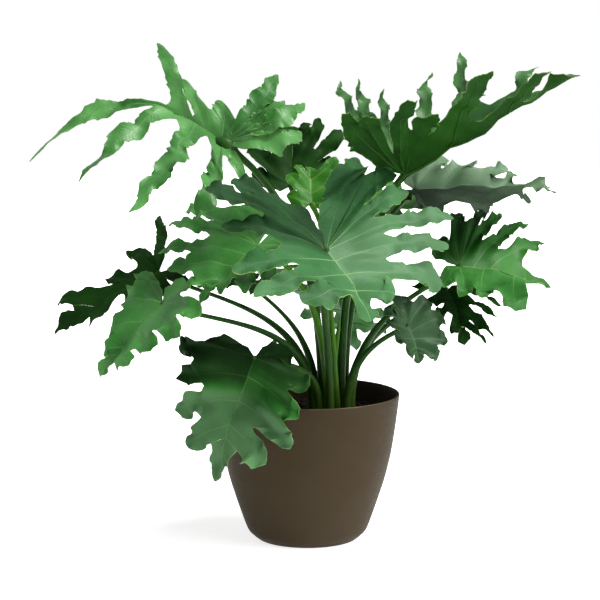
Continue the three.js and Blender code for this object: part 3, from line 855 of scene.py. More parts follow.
@dataclass
class Leaf:
    """A leaf: its blade of wavy lobes, the ribs under it and its stalk.

    Attributes:
        node: The solid that the leaf stands for.
        age: Which skin the blade has.
        joint: Where the stalk meets the blade.
        heading: Direction of the midrib, in degrees from +X towards +Y.
        pitch: Rise of the midrib, in degrees.
        roll: How far the left half is raised, in degrees.
        midrib: Length of the midrib.
        left: The left half.
        right: The right half.
        ring: Half the width of the oval ring on which the stalk stands.
        bearing: Its direction on that ring.
        kind: Which look the stalk has.
        fold: How far both halves are raised, in degrees.
        bow: How far the middle of the midrib swings to the left.
        sag: How far the leaf's end hangs.
        reach: Share of the midrib that carries lobes.
        basal: How many lobes of each half spring from the joint.
        tip: Width of the lobe at the leaf's end.
        waist: Width of a lobe at its gap, as a share of its full width.
        taper: How long a lobe stays wide.
        rise: How far up the stalk's foot points, as a share of its span.
        arrive: How straight the stalk meets the blade, as a share of its span.
        blunt: How blunt the lobes' ends are, from 0.5 for round to 1.2 for drawn out.
        ruffle: How strongly the margins wave up and down, against the usual.
        sway: How far the margins wave in and out, as a share of the half width.
        tooth: How far the teeth stand out, as a share of the half width.
        tooth_length: Usual distance between two teeth.
        twist: How far a lobe tilts to either side about its rib, as a slope.
        swerve: How far a lobe swings to either side on its way out.
        wave: Length of a wave of the margins.
        hook: How far the lobes' ends curl down.
        warp: Height of the slow waves that run through the whole blade.
        pleat: Height of the blade between two ribs.
        order: Its place in the list, which shifts its waves.
        knuckle: How thick the swelling at the joint is.
        stalk_radius: Radius of the stalk at the joint.
    """

    node: str
    age: Age
    joint: Spot
    heading: float
    pitch: float
    roll: float
    midrib: float
    left: Half
    right: Half
    ring: float
    bearing: float
    kind: StalkKind = StalkKind.OUTER
    fold: float = 6.0
    bow: float = 0.0
    sag: float = 20.0
    reach: float = 0.66
    basal: int = 2
    tip: float = 34.0
    waist: float = 0.72
    taper: float = 2.6
    rise: float = 0.5
    arrive: float = 0.3
    blunt: float = 0.9
    ruffle: float = 1.0
    sway: float = 0.1
    tooth: float = 0.34
    tooth_length: float = 17.0
    twist: float = 0.25
    swerve: float = 1.5
    wave: float = RUFFLE_WAVE
    hook: float = 5.0
    warp: float = 2.0
    pleat: float = 5.0
    order: int = 0
    knuckle: float = 3.8
    stalk_radius: float = 3.5
    axes: np.ndarray = field(init=False)

    def __post_init__(self) -> None:
        """Works out the leaf's own axes."""
        heading, pitch, roll = (math.radians(angle) for angle in (self.heading, self.pitch, self.roll))
        along = np.array(
            [math.cos(heading) * math.cos(pitch), math.sin(heading) * math.cos(pitch), math.sin(pitch)]
        )
        level = np.array([-math.sin(heading), math.cos(heading), 0.0])
        above = np.cross(along, level)
        left = level * math.cos(roll) + above * math.sin(roll)
        up = above * math.cos(roll) - level * math.sin(roll)
        self.axes = np.stack([along, left, up])

    def place(self, points: np.ndarray) -> np.ndarray:
        """Moves points from the leaf's plane into the scene, with both halves folded up.

        Args:
            points: Places along the midrib, to its left and up.

        Returns:
            The same points in the part's frame.
        """
        fold = math.radians(self.fold)
        x, y, z = points[..., 0], points[..., 1], points[..., 2]
        share = x / self.midrib
        inside = np.clip(share, 0.0, 1.0)
        swung = 4.0 * self.bow * (inside * (1.0 - inside) + (share - inside) * (1.0 - 2.0 * inside))
        local = np.stack([x, y * math.cos(fold) + swung, z + np.abs(y) * math.sin(fold)], -1)
        return np.asarray(self.joint) + local @ self.axes

    def midrib_point(self, along: np.ndarray | float) -> np.ndarray:
        """Gives points on the midrib at distances from the joint."""
        along = np.asarray(along, dtype=float)
        hang = -self.sag * (np.maximum(along, 0.0) / self.midrib) ** 2
        return np.stack([along, np.zeros_like(along), hang], -1)

    def ribs(self, side: int) -> list[Rib]:
        """Lists the ribs of one half, from the back round to the end.

        Args:
            side: 1 for the left half and -1 for the right.

        Returns:
            The ribs, with that of the lobe at the leaf's end last.
        """
        half = self.left if side > 0 else self.right
        basal = self.basal if half.basal is None else half.basal
        carried = self.midrib * (self.reach if half.reach is None else half.reach)
        cuts = half.cuts()
        made = []
        for index, lobe in enumerate(half.lobes):
            step = index - basal
            start = 0.0 if step < 0 else carried * (step + 0.8) / (len(half.lobes) - basal)
            root = self.midrib_point(start)
            turn, bowed = math.radians(lobe.angle), math.radians(lobe.angle + RIB_BOW)
            height = (root[2] + lobe.rise) / 2.0 + RIB_ARCH * lobe.length
            reach = lobe.length / 2.0
            bend = np.array([start + reach * math.cos(bowed), side * reach * math.sin(bowed), height])
            tip = np.array(
                [start + lobe.length * math.cos(turn), side * lobe.length * math.sin(turn), lobe.rise]
            )
            phase = 2.4 * index + 1.7 * self.order + 0.9 * side
            width = lobe.width or half.width
            gaps = (cuts[index - 1] if index else BACK_CUT, cuts[index])
            manner = (phase, self.swerve * half.lively, lobe.tone, half.lively)
            made.append(Rib(side, root, bend, tip, lobe.length, width, *gaps, *manner))
        made.append(self.end_rib(side, TERMINAL_CUT * cuts[-1]))
        return made

    def end_rib(self, side: int, cut: float) -> Rib:
        """Gives the rib of the lobe at the leaf's end, which carries the midrib on past a cut."""
        start = self.midrib * (self.reach + TERMINAL_START)
        middle = (start + self.midrib) / 2.0
        slope = -2.0 * self.sag * start / self.midrib**2
        root = self.midrib_point(start)
        bend = np.array([middle, 0.0, root[2] + slope * (middle - start)])
        phase = 1.1 + self.order
        end = self.midrib_point(self.midrib)
        manner = {"phase": phase, "tone": self.left.lobes[-1].tone, "last": True}
        return Rib(side, root, bend, end, self.midrib - start, self.tip, cut, cut, **manner)

    def half_width(self, rib: Rib, toward: int, share: np.ndarray, neighbour: Rib | None) -> np.ndarray:
        """Works out half the width of a lobe along its free length.

        Args:
            rib: The lobe's rib.
            toward: 1 for its back margin and -1 for the other.
            share: Shares of its free length.
            neighbour: The rib on that side, which leaves it only so much room.

        Returns:
            The distance from the rib to the margin.
        """
        broad = self.waist + (1.0 - self.waist) * smoothstep(share, 0.0, 0.5)
        wave = rib.length / MARGIN_WAVE * 2.0 * math.pi * share + rib.phase + 1.3 * toward
        uneven = self.sway * np.sin(wave + 0.5 * np.sin(wave)) + self.tooth * self.teeth(rib, toward, share)
        point = np.maximum(0.0, 1.0 - share**self.taper) ** self.blunt
        full = rib.width / 2.0 * broad * (1.0 + uneven * grown(share)) * point
        if neighbour is None:
            return full
        at = rib.past(toward, share)
        room = ROOM_SHARE * np.linalg.norm(rib.at(at) - neighbour.at(at), axis=-1)
        return (np.maximum(full, 0.01) ** -6 + np.maximum(room, 0.01) ** -6) ** (-1.0 / 6.0)

    def teeth(self, rib: Rib, toward: int, share: np.ndarray) -> np.ndarray:
        """Gives the heights of a margin's uneven blunt teeth, which rise slowly and drop towards the tip."""
        travelled = rib.length * (1.0 - rib.split()) * share / self.tooth_length + rib.phase + 0.37 * toward
        travelled = travelled + 0.16 * np.sin(2.7 * travelled + 1.3 * rib.phase)
        place = travelled % 1.0
        rise = (place / TOOTH_PEAK) ** 1.3
        drop = 0.5 + 0.5 * np.cos(math.pi * (place - TOOTH_PEAK) / 0.3)
        size = 0.65 + 0.45 * np.sin(7.9 * np.floor(travelled) + 3.0 * rib.phase)
        return np.where(place < TOOTH_PEAK, rise, drop) * size - 0.35

    def margin(self, rib: Rib, toward: int, free: np.ndarray, neighbour: Rib | None) -> np.ndarray:
        """Gives the margin's points at shares of the lobe's free length."""
        share = rib.past(toward, free)
        width = self.half_width(rib, toward, free, neighbour)
        edge = rib.at(share) + rib.outward(share, toward) * width[..., None]
        lean = TOOTH_LEAN * self.tooth * self.teeth(rib, toward, free) * width * grown(free) * (1.0 - free**4)
        edge = edge + rib.along(share) * lean[..., None]
        lag = 0.0 if (rib.side if rib.last else toward) > 0 else 2.1
        wave = rib.length / self.wave * 2.0 * math.pi * free + rib.phase + lag
        ripple = rib.lively * self.ruffle * RUFFLE * (np.sin(wave) + 0.3 * np.sin(2.3 * wave + rib.phase))
        crinkle = CRIMP * np.sin(5.3 * wave + 2.0 * rib.phase)
        edge[..., 2] += (ripple + crinkle) * grown(free) * (1.0 - free**6)
        turn = np.sin(2.0 * math.pi * rib.length * free / TWIST_WAVE + 1.7 * rib.phase)
        tilt = rib.lively * self.twist * width * turn
        edge[..., 2] += toward * rib.side * tilt * smoothstep(free, 0.0, 0.4)
        return edge

    @staticmethod
    def fold_line(first: Rib, second: Rib) -> tuple[np.ndarray, np.ndarray]:
        """Finds the fold between two neighbouring ribs.

        Args:
            first: The rib nearer the back of the leaf.
            second: The next rib.

        Returns:
            The fold's start at the midrib and its end at the bottom of the gap.
        """
        end = (first.at(first.front) + second.at(second.back)) / 2.0
        return second.root if second.last else (first.root + second.root) / 2.0, end

    def half_lobe(self, rib: Rib, toward: int, neighbour: Rib | None) -> tuple[np.ndarray, ...]:
        """Lays out the strip on one side of a rib.

        Args:
            rib: The lobe's rib.
            toward: 1 for the strip at its back and -1 for the other.
            neighbour: The rib on that side, or None at the very back.

        Returns:
            Shares of the rib, the strip's points, their distance from the rib and their painted shade and
            light.
        """
        split = rib.split()
        free_rows = max(8, round(rib.length * (1.0 - split) / ROW_LENGTH))
        steps = np.linspace(0.0, 1.0, free_rows + 1)
        opened = steps - ROW_BUNCHING * np.sin(2.0 * math.pi * steps)
        ramp = np.array([]) if rib.last else np.linspace(0.0, 1.0, COLUMNS + 1)[:-1]
        share = np.concatenate([split * ramp, split + (1.0 - split) * opened])
        edge_free = self.margin(rib, toward, opened, neighbour)
        height = np.zeros(len(share))
        shared = np.zeros(len(share))
        if neighbour is None:
            edge_web = rib.root + ramp[:, None] * (edge_free[0] - rib.root)
        else:
            top, bottom = self.fold_line(*((neighbour, rib) if toward > 0 else (rib, neighbour)))
            fade = (1.0 - opened) ** GAP_ROUNDNESS
            edge_free = edge_free + (bottom - edge_free[0]) * fade[:, None]
            edge_web = top + ramp[:, None] * (bottom - top)
            crest = min(self.pleat, 0.1 * float(np.linalg.norm(bottom - top)))
            height = crest * np.concatenate([swell(ramp), (1.0 - opened) ** 1.5])
            # The painted shade and light of two neighbouring lobes blend across the fold between them.
            shared = np.concatenate([np.ones_like(ramp), (1.0 - opened) ** 4])
            shared *= (neighbour.tone - rib.tone) / 2.0
        edge = np.concatenate([edge_web, edge_free])
        line = rib.at(share)
        across = np.linspace(0.0, 1.0, COLUMNS + 1)
        grid = line[:, None, :] + (edge - line)[:, None, :] * across[None, :, None]
        bent = (edge - line)[:, 2:3]
        grid[..., 2] += (across**2 - across)[None, :] * bent * 0.6
        grid[..., 2] += height[:, None] * swell(across)[None, :]
        grid = self.relaxed(grid, rib, share[:, None])
        away = np.linalg.norm(edge - line, axis=-1)[:, None] * across[None, :]
        return share, grid, away, rib.tone + shared[:, None] * across[None, :] ** 2

    def relaxed(self, points: np.ndarray, rib: Rib | None, share: np.ndarray | float) -> np.ndarray:
        """Adds the slow waves of the whole blade and the curl of a lobe's end to points on it.

        Args:
            points: Points in the leaf's plane.
            rib: The lobe's rib, or None on the midrib.
            share: Shares of the rib at which they lie.

        Returns:
            The moved points. Those at the joint stay.
        """
        moved = points.copy()
        x, y = points[..., 0], points[..., 1]
        phase = 1.9 * self.order
        wave = np.sin(0.075 * x + 0.045 * y + phase) + np.sin(0.07 * y - 0.05 * x + 2.3 * phase)
        wave = wave + 0.6 * np.sin(0.16 * x - 0.11 * y + 1.3 * phase)
        moved[..., 2] += self.warp * wave * smoothstep(np.hypot(x, y), 5.0, 60.0)
        if rib is not None:
            moved[..., 2] -= rib.lively * self.hook * rib.free(share) ** 3
        return moved

    def sheets(self) -> list[Sheet]:
        """Lays out the whole blade as one sheet for each lobe."""
        made = []
        halves = {side: self.ribs(side) for side in (1, -1)}
        for side, ribs in halves.items():
            for index, rib in enumerate(ribs[:-1]):
                back = self.half_lobe(rib, 1, ribs[index - 1] if index else None)
                front = self.half_lobe(rib, -1, ribs[index + 1])
                made.append(self.sheet_of(rib, *((back, front) if side > 0 else (front, back))))
        left, right = (self.half_lobe(halves[side][-1], 1, halves[side][-2]) for side in (1, -1))
        made.append(self.sheet_of(halves[1][-1], left, right))
        return made

    def sheet_of(self, rib: Rib, high: tuple, low: tuple) -> Sheet:
        """Joins the two strips of a lobe into a sheet.

        Args:
            rib: The lobe's rib.
            high: The strip to the left of the rib, seen from the root.
            low: The strip to its right.

        Returns:
            The sheet, with columns from left to right.
        """
        share = high[0]
        points = np.concatenate([high[1][:, ::-1], low[1][:, 1:]], axis=1)
        away, tone = (np.concatenate([high[k][:, ::-1], low[k][:, 1:]], axis=1) for k in (2, 3))
        along = np.broadcast_to((share * rib.length)[:, None], away.shape)
        if rib.last:
            along = along + 20.0
        strip = np.stack([along, away], -1) / 10.0
        vein = (0.9 if rib.last else 0.75) * (1.0 - 0.7 * share)[:, None] + 0.05
        return Sheet(self.place(points), strip, away / vein, tone)

    def blade(self, skins: tuple[bpy.types.Material, ...]) -> bpy.types.Object:
        """Builds the blade and gives it its thickness.

        Args:
            skins: Materials of its upper side and its underside.

        Returns:
            The blade, with its second skin on the underside.
        """
        piece = Bench.laid(f"{self.node}_blade", self.sheets())
        Bench.mark_margin(piece)
        for skin in skins:
            piece.data.materials.append(skin)
        Bench.take(piece)
        wall = piece.modifiers.new("thickness", "SOLIDIFY")
        wall.thickness = BLADE_THICKNESS * MM
        wall.offset = 0.0
        wall.material_offset = 1
        bpy.ops.object.modifier_apply(modifier=wall.name)
        return piece

    def stalk_path(self) -> tuple[np.ndarray, np.ndarray]:
        """Works out the stalk's middle line and its radii, from the soil to the end of the midrib."""
        foot = Foot.on_ring(self.ring, self.bearing, FOOT_RADIUS)
        bottom, top, joint = foot.bottom(), foot.top(), np.asarray(self.joint, dtype=float)
        span = float(np.linalg.norm(joint - top))
        outward = unit((joint - top) * np.array([1.0, 1.0, 0.0]))
        arrival = unit(0.5 * outward + 0.35 * self.axes[0] + np.array([0.0, 0.0, 0.6]))
        lift = top + np.array([0.0, 0.0, self.rise * span])
        reach = joint - arrival * self.arrive * span
        way = np.linspace(0.0, 1.0, max(24, round(span / STALK_ROW)))[:, None]
        arc = (1 - way) ** 3 * top + 3 * way * (1 - way) ** 2 * lift
        arc = arc + 3 * way * way * (1 - way) * reach + way**3 * joint
        radii = foot.radius + (self.stalk_radius - foot.radius) * smoothstep(way[:, 0], 0.0, 0.75)
        before = (1.0 - way[:, 0]) * span
        swelling = np.exp(-(((before - 0.9 * self.knuckle) / (3.0 + self.knuckle)) ** 2))
        radii = radii + (self.knuckle - KNUCKLE_HIDDEN) * swelling
        share = np.linspace(0.03, 1.0, MIDRIB_ROWS)
        under = self.relaxed(self.midrib_point(share * self.midrib), None, share)
        under[:, 2] -= self.hook * np.clip((share - self.reach) / (1.0 - self.reach), 0.0, 1.0) ** 3
        under_radii = MIDRIB_RADIUS * (1.0 - share) ** 1.2 + 0.25
        under[:, 2] -= under_radii - TUBE_SINK
        points = np.concatenate([bottom[None], arc, self.place(under)])
        return points, np.concatenate([[foot.radius], radii, under_radii])

    def rib_tubes(self) -> list[Sheet]:
        """Lays out the raised ribs under the blade."""
        made = []
        share = np.linspace(0.0, 0.9, RIB_ROWS)
        for side in (1, -1):
            for rib in self.ribs(side)[:-1]:
                radii = (0.5 + rib.length / 180.0) * (1.0 - share) + 0.18
                line = self.relaxed(rib.at(share), rib, share)
                line[:, 2] -= radii - 0.2
                made.append(Tube.rolled(self.place(line), radii, RIB_SIDES))
        return made

    def build(self, palette: Palette) -> bpy.types.Object:
        """Builds the leaf and gives it its skins.

        Args:
            palette: Where the materials come from.

        Returns:
            The finished leaf.
        """
        points, radii = self.stalk_path()
        stalk = Bench.laid(f"{self.node}_stalk", [Tube.rolled(points, radii, STALK_SIDES), *self.rib_tubes()])
        upper = palette.of(UPPER_FINISH[self.age])
        under = palette.of(UNDER_FINISH[UNDER_OF[self.age]])
        stem = palette.of(STALK_FINISH[self.kind])
        blade = self.blade((upper, under))
        stalk.data.materials.append(stem)
        whole = Bench.joined([blade, stalk], f"{self.node}_skin")
        Bench.finish(whole)
        return whole


def half(width: float, *lobes: tuple, **rest: float) -> Half:
    """Writes a half blade from its width, its lobes' sizes and what else differs from the usual."""
    return Half(width, tuple(Lobe(*lobe) for lobe in lobes), **rest)


# A lobe's sixth number paints shade or light on it: below 1 darkens it where it lies in shade, above 1
# lightens it and paints a sheen on it.
LEAVES = [
    Leaf(
        node="leaf_upper_left", age=Age.SILVERY,
        joint=(-120, 10, 559), heading=178, pitch=-3, roll=-45, midrib=273,
        bow=-84, sag=10, reach=0.3, tip=26, waist=0.6, taper=3.2, blunt=0.7, ruffle=0.9, wave=44.0,
        sway=0.12, tooth=0.28, tooth_length=15.0, twist=0.4, swerve=3.0, hook=10.0, knuckle=11.0,
        stalk_radius=4.7, ring=INNER_RING, bearing=196,
        left=half(
            29, (137, 46, 0, 0.3), (80, 178, 0, 0.07, 26), (69, 234, 0, 0.07), (49, 177), cut=0.06, basal=2,
            reach=0.33,
        ),
        right=half(
            26, (129, 181, 0, 0.3, 30), (121, 230, 0, 0.3, 22), (117, 197, 0, 0.3, 20), (111, 223, 0, 0.24),
            (91, 73, 0, 0.5, 40), (62, 77, 0, 0.07, 26), (71, 123, 0, 0.07, 30), cut=0.3, basal=5,
            reach=0.22, lively=0.4,
        ),
    ),
    Leaf(
        node="leaf_upper_right", age=Age.DEEP,
        joint=(139, 66, 510), heading=0, pitch=29, roll=3, midrib=285,
        fold=38, sag=-10, basal=3, tip=30, taper=3, twist=0.4, swerve=3.5, rise=0.6, stalk_radius=4.7,
        ring=INNER_RING, bearing=10,
        left=half(22, (94, 253), (88, 230), (79, 185), (71, 179), (73, 177), (46, 97), cut=0.24),
        right=half(
            44, (100, 213, 6, 0.78), (93, 196, 0, 0.24), (74, 182, 0, 0.62, 52), (53, 130, 0, 0.46),
            (54, 163, 0, 0.16, 46), (39, 98, 0, 0.2, 24), cut=0.2, basal=4, lively=0.3,
        ),
    ),
    Leaf(
        node="leaf_front", age=Age.BROAD,
        joint=(25, -108, 419), heading=-39, pitch=-41, roll=13, midrib=113,
        sag=15, basal=4, tip=60, taper=3.6, blunt=0.65, ruffle=0.9, warp=1.8,
        stalk_radius=4.3, ring=OUTER_RING, bearing=-95,
        left=half(
            42, (128, 186, 10, 0.78, 54, 0.8), (113, 195, 14, 0.52, 44, 0.8),
            (101, 170, 19, 0.44, 34, 1.15), (82, 211, 10, 0.42, 34, 1.4), (77, 184, 0, 0.42, 42, 1.45),
            (64, 144, -5, 0.6, 56, 1.4), (54, 54, 0, 0.6, 42, 1.2), cut=0.6,
        ),
        right=half(
            42, (169, 112, 8, 0.8, 36, 0.38), (154, 158, 15, 0.72, 50, 0.42), (139, 183, 10, 0.6, 36, 0.36),
            (127, 148, -10, 0.5, 34, 0.42), (101, 165, -8, 0.46, 36, 1.0), (93, 163, -5, 0.34, 34, 1.15),
            (91, 99, 0, 0.4, 50, 1.2), cut=0.4,
        ),
    ),
    Leaf(
        node="leaf_mid_left", age=Age.LIGHT,
        joint=(-69, -20, 417), heading=-160, pitch=-34, roll=-18, midrib=112,
        basal=3, stalk_radius=3.9, ring=INNER_RING, bearing=246, kind=StalkKind.INNER,
        left=half(38, (140, 80), (105, 95), (70, 105), (61, 99), (44, 60), (40, 32), cut=0.7),
        right=half(
            36, (120, 110), (81, 170, 0, 0.52, 30), (70, 177, 0, 0.45, 28), (57, 150, 0, 0.6, 32),
            (51, 107, 0, 0.66), (28, 47), cut=0.72,
        ),
    ),
    Leaf(
        node="leaf_right_high", age=Age.OLIVE,
        joint=(156, 100, 486), heading=5, pitch=4, roll=12, midrib=208,
        sag=15, rise=0.3, arrive=0.4, ring=OUTER_RING, bearing=46,
        left=half(
            40, (84, 108, 0, 0.4, 34, 1.3), (54, 109, 12, 0.5, 40, 1.3), (37, 78, 20, 0.55, 44, 1.3),
            (22, 64, 18, 0.4, 26, 1.2), (52, 50, 0, 0.3, 18),
        ),
        right=half(
            42, (125, 56, 0, 0.8, 42, 0.25), (84, 100, -10, 0.9, 42, 0.22), (66, 118, -15, 0.9, 42, 0.25),
            (48, 104, -10, 0.75, 42, 0.4), (35, 76), cut=0.6,
        ),
    ),
    Leaf(
        node="leaf_right", age=Age.FRESH,
        joint=(214, 10, 385), heading=9, pitch=-6, roll=27, midrib=139,
        basal=3, ring=OUTER_RING, bearing=-14,
        left=half(
            24, (118, 70, 0, 0.6, 36, 0.45), (82, 139, 0, 0.6, 28, 0.45), (66, 171, 0, 0.55, 22, 0.5),
            (58, 163, 0, 0.36, 22, 0.7), (51, 164, 0, 0.32, 24, 0.85), (40, 121, 0, 0.45, 32), basal=4,
            reach=0.36,
        ),
        right=half(
            42, (118, 70, 0, 0.85, 36), (92, 76, 0, 0.9), (104, 88, 0, 0.88), (102, 116, 0, 0.66, 50),
            basal=2,
        ),
    ),
    Leaf(
        node="leaf_right_low", age=Age.SHADED,
        joint=(201, 65, 345), heading=-67, pitch=-36, roll=0, midrib=87,
        ring=OUTER_RING, bearing=24,
        left=half(17, (84, 49), (60, 82), (46, 73), (27, 74), (16, 60)),
        right=half(20, (140, 35), (100, 56), (70, 68), (58, 60), (40, 46)),
    ),
    Leaf(
        node="leaf_right_front", age=Age.GREY,
        joint=(138, -60, 310), heading=-55, pitch=-52, roll=10, midrib=52,
        sag=8, tip=26, ring=OUTER_RING, bearing=-42,
        left=half(34, (166, 50), (126, 58), (98, 60), (73, 51), (50, 34), cut=0.74),
        right=half(34, (174, 56), (150, 41), (126, 36), (96, 27), (66, 20), cut=0.74),
    ),
    Leaf(
        node="leaf_left", age=Age.SHADED,
        joint=(-212, 45, 372), heading=-175, pitch=-24, roll=-27, midrib=172,
        reach=0.5, stalk_radius=2.9, ring=OUTER_RING, bearing=172,
        left=half(30, (125, 60, -15), (90, 65, -20), (65, 65, -20), (45, 60, -10), cut=0.28),
        right=half(
            32, (105, 128, 0, 0.3, 22), (69, 84, 0, 0.35), (48, 60, 0, 0.3, 26), (27, 84, 0, 0.8), cut=0.28,
        ),
    ),
    Leaf(
        node="leaf_left_front", age=Age.LIGHT,
        joint=(-198, -75, 344), heading=174, pitch=-42, roll=-29, midrib=138,
        stalk_radius=3.1, ring=OUTER_RING, bearing=-162,
        left=half(
            44, (165, 48, 0, 0.78, 60), (113, 112, 0, 0.8), (107, 124, 0, 0.66), (100, 84), (96, 80),
            cut=0.78,
        ),
        right=half(42, (83, 98, 0, 0.78, 24, 0.6), (54, 91, 0, 0.7), (34, 64), (16, 28), cut=0.78),
    ),
    Leaf(
        node="leaf_low_front", age=Age.FRESH,
        joint=(-71, -115, 275), heading=-139, pitch=-61, roll=-18, midrib=173,
        reach=0.6, tip=40, ruffle=1.3, pleat=9.0, ring=OUTER_RING, bearing=-128,
        left=half(
            46, (106, 60, 0, 0.8, 36, 0.25), (76, 99, 0, 0.78, 46, 0.45), (71, 107, 0, 0.82, 46, 0.9),
            (69, 117, 0, 0.44, 46, 1.45), (65, 88, 0, 0.7, 46, 1.55),
        ),
        right=half(
            46, (94, 86, -8, 0.88, 22, 0.2), (83, 122, -8, 0.74, 46, 0.22), (72, 106, 0, 0.52, 36, 0.32),
            (66, 94, 0, 0.57, 38, 1.55), (47, 65, 0, 0.65, 46, 1.55),
        ),
    ),
    Leaf(
        node="leaf_back", age=Age.SHADED,
        joint=(-23, 80, 493), heading=88, pitch=50, roll=0, midrib=130,
        stalk_radius=3.9, ring=INNER_RING, bearing=80,
        left=half(40, (72, 62), (42, 95, 0, 0.5), (28, 84), (26, 44), cut=0.6),
        right=half(40, (58, 78), (36, 122, 0, 0.5), (24, 96), (34, 46), cut=0.6),
    ),
    Leaf(
        node="leaf_young", age=Age.YOUNG,
        joint=(6, 20, 472), heading=95, pitch=60, roll=0, midrib=62,
        sag=5, basal=1, tip=20, ring=INNER_RING, bearing=140, kind=StalkKind.INNER,
        left=half(26, (70, 38), (50, 44), (35, 32), cut=0.6),
        right=half(26, (80, 42), (56, 76), (50, 52), cut=0.6),
    ),
    Leaf(
        node="leaf_left_back", age=Age.SHADED,
        joint=(-83, 70, 352), heading=180, pitch=5, roll=-8, midrib=75,
        sag=4, tip=22, stalk_radius=2.9, ring=OUTER_RING, bearing=140,
        left=half(24, (130, 45), (95, 60), (60, 50), (45, 30)),
        right=half(24, (130, 45), (95, 60), (60, 50), (45, 30)),
    ),
    Leaf(
        node="leaf_rear_low", age=Age.FRESH,
        joint=(40, 175, 330), heading=70, pitch=-35, roll=0, midrib=150,
        stalk_radius=3.1, ring=OUTER_RING, bearing=102,
        left=half(34, (145, 95), (112, 115), (86, 105), (66, 90), (47, 65)),
        right=half(34, (145, 82), (112, 115), (86, 105), (66, 90), (47, 65)),
    ),
    Leaf(
        node="leaf_rear_high", age=Age.YOUNG,
        joint=(100, 150, 450), heading=60, pitch=14, roll=8, midrib=150,
        rise=0.3, ring=OUTER_RING, bearing=73,
        left=half(34, (145, 50), (112, 62), (86, 85), (66, 90), (47, 65)),
        right=half(36, (145, 40), (112, 80), (86, 95), (66, 90), (47, 65), cut=0.5),
    ),
]


@dataclass
class Spear:
    """A leaf still rolled up, or the sheath that one leaves behind, on its own stalk.

    Attributes:
        node: The solid that it stands for.
        foot: Where it stands in the soil.
        path: Points that its middle line passes above the soil.
        swell: How much thicker its rolled part is.
        rolled: True if the edge of the rolled blade winds round it.
        rows: How many faces lie along it.
        sides: How many go round.
    """

    node: str
    foot: Foot
    path: tuple[Spot, ...]
    swell: float
    rolled: bool
    rows: int = 60
    sides: int = 24

    def line(self) -> np.ndarray:
        """Gives points on the smooth line through the path."""
        knots = [self.foot.top(), *(np.array(spot, dtype=float) for spot in self.path)]
        knots = [2 * knots[0] - knots[1], *knots, 2 * knots[-1] - knots[-2]]
        spans = len(knots) - 3
        made = []
        for step in range(self.rows + 1):
            whole = min(spans - 1, int(step * spans / self.rows))
            part = step * spans / self.rows - whole
            before, start, end, after = knots[whole : whole + 4]
            spot = 2 * start + (end - before) * part
            spot = spot + (2 * before - 5 * start + 4 * end - after) * part * part
            made.append(0.5 * (spot + (3 * start - before - 3 * end + after) * part**3))
        return np.array(made)

    def build(self, palette: Palette) -> bpy.types.Object:
        """Builds the spear and gives it its skin.

        Args:
            palette: Where the materials come from.

        Returns:
            The finished piece.
        """
        share = np.linspace(0.0, 1.0, self.rows + 1)
        bulge = np.sin(math.pi * smoothstep(share, 0.45, 1.0)) * self.swell
        radii = self.foot.radius * (1.0 - 0.45 * share) * (1.0 - 0.85 * share**8) + bulge
        points = np.concatenate([self.foot.bottom()[None], self.line()])
        radii = np.concatenate([[self.foot.radius], radii])
        sheet = Tube.rolled(points, radii, self.sides)
        if self.rolled:
            self.wind(sheet, points)
        piece = Bench.laid(f"{self.node}_skin", [sheet])
        piece.data.materials.append(palette.of(STALK_FINISH[StalkKind.INNER]))
        Bench.finish(piece, 60.0)
        return piece

    def wind(self, sheet: Sheet, points: np.ndarray) -> None:
        """Presses the winding edge of the rolled blade into the sheet as a shallow step."""
        middle = np.concatenate([points[:1], points, points[-1:]])
        rows, columns = sheet.line.shape
        row = np.arange(rows)[:, None] / rows
        turn = np.linspace(0.0, 1.0, columns)[None, :]
        step = (turn + 2.2 * row) % 1.0
        depth = np.where(row > 0.45, 0.16, 0.0) * (1.0 - step) ** 3
        depth[:, -1] = depth[:, 0]
        sheet.points[:] = middle[:, None, :] + (sheet.points - middle[:, None, :]) * (1.0 - depth[..., None])


SPEARS = [
    Spear("new_leaf_spear", Foot.on_ring(INNER_RING, -55, 4.5), ((33, -12, 330), (25, -25, 470)), 5.0, True),
    Spear("crown_sheath", Foot.on_ring(0.0, 0.0, 5.5), ((38, 0, 250), (46, -4, 318)), 0.0, False),
]


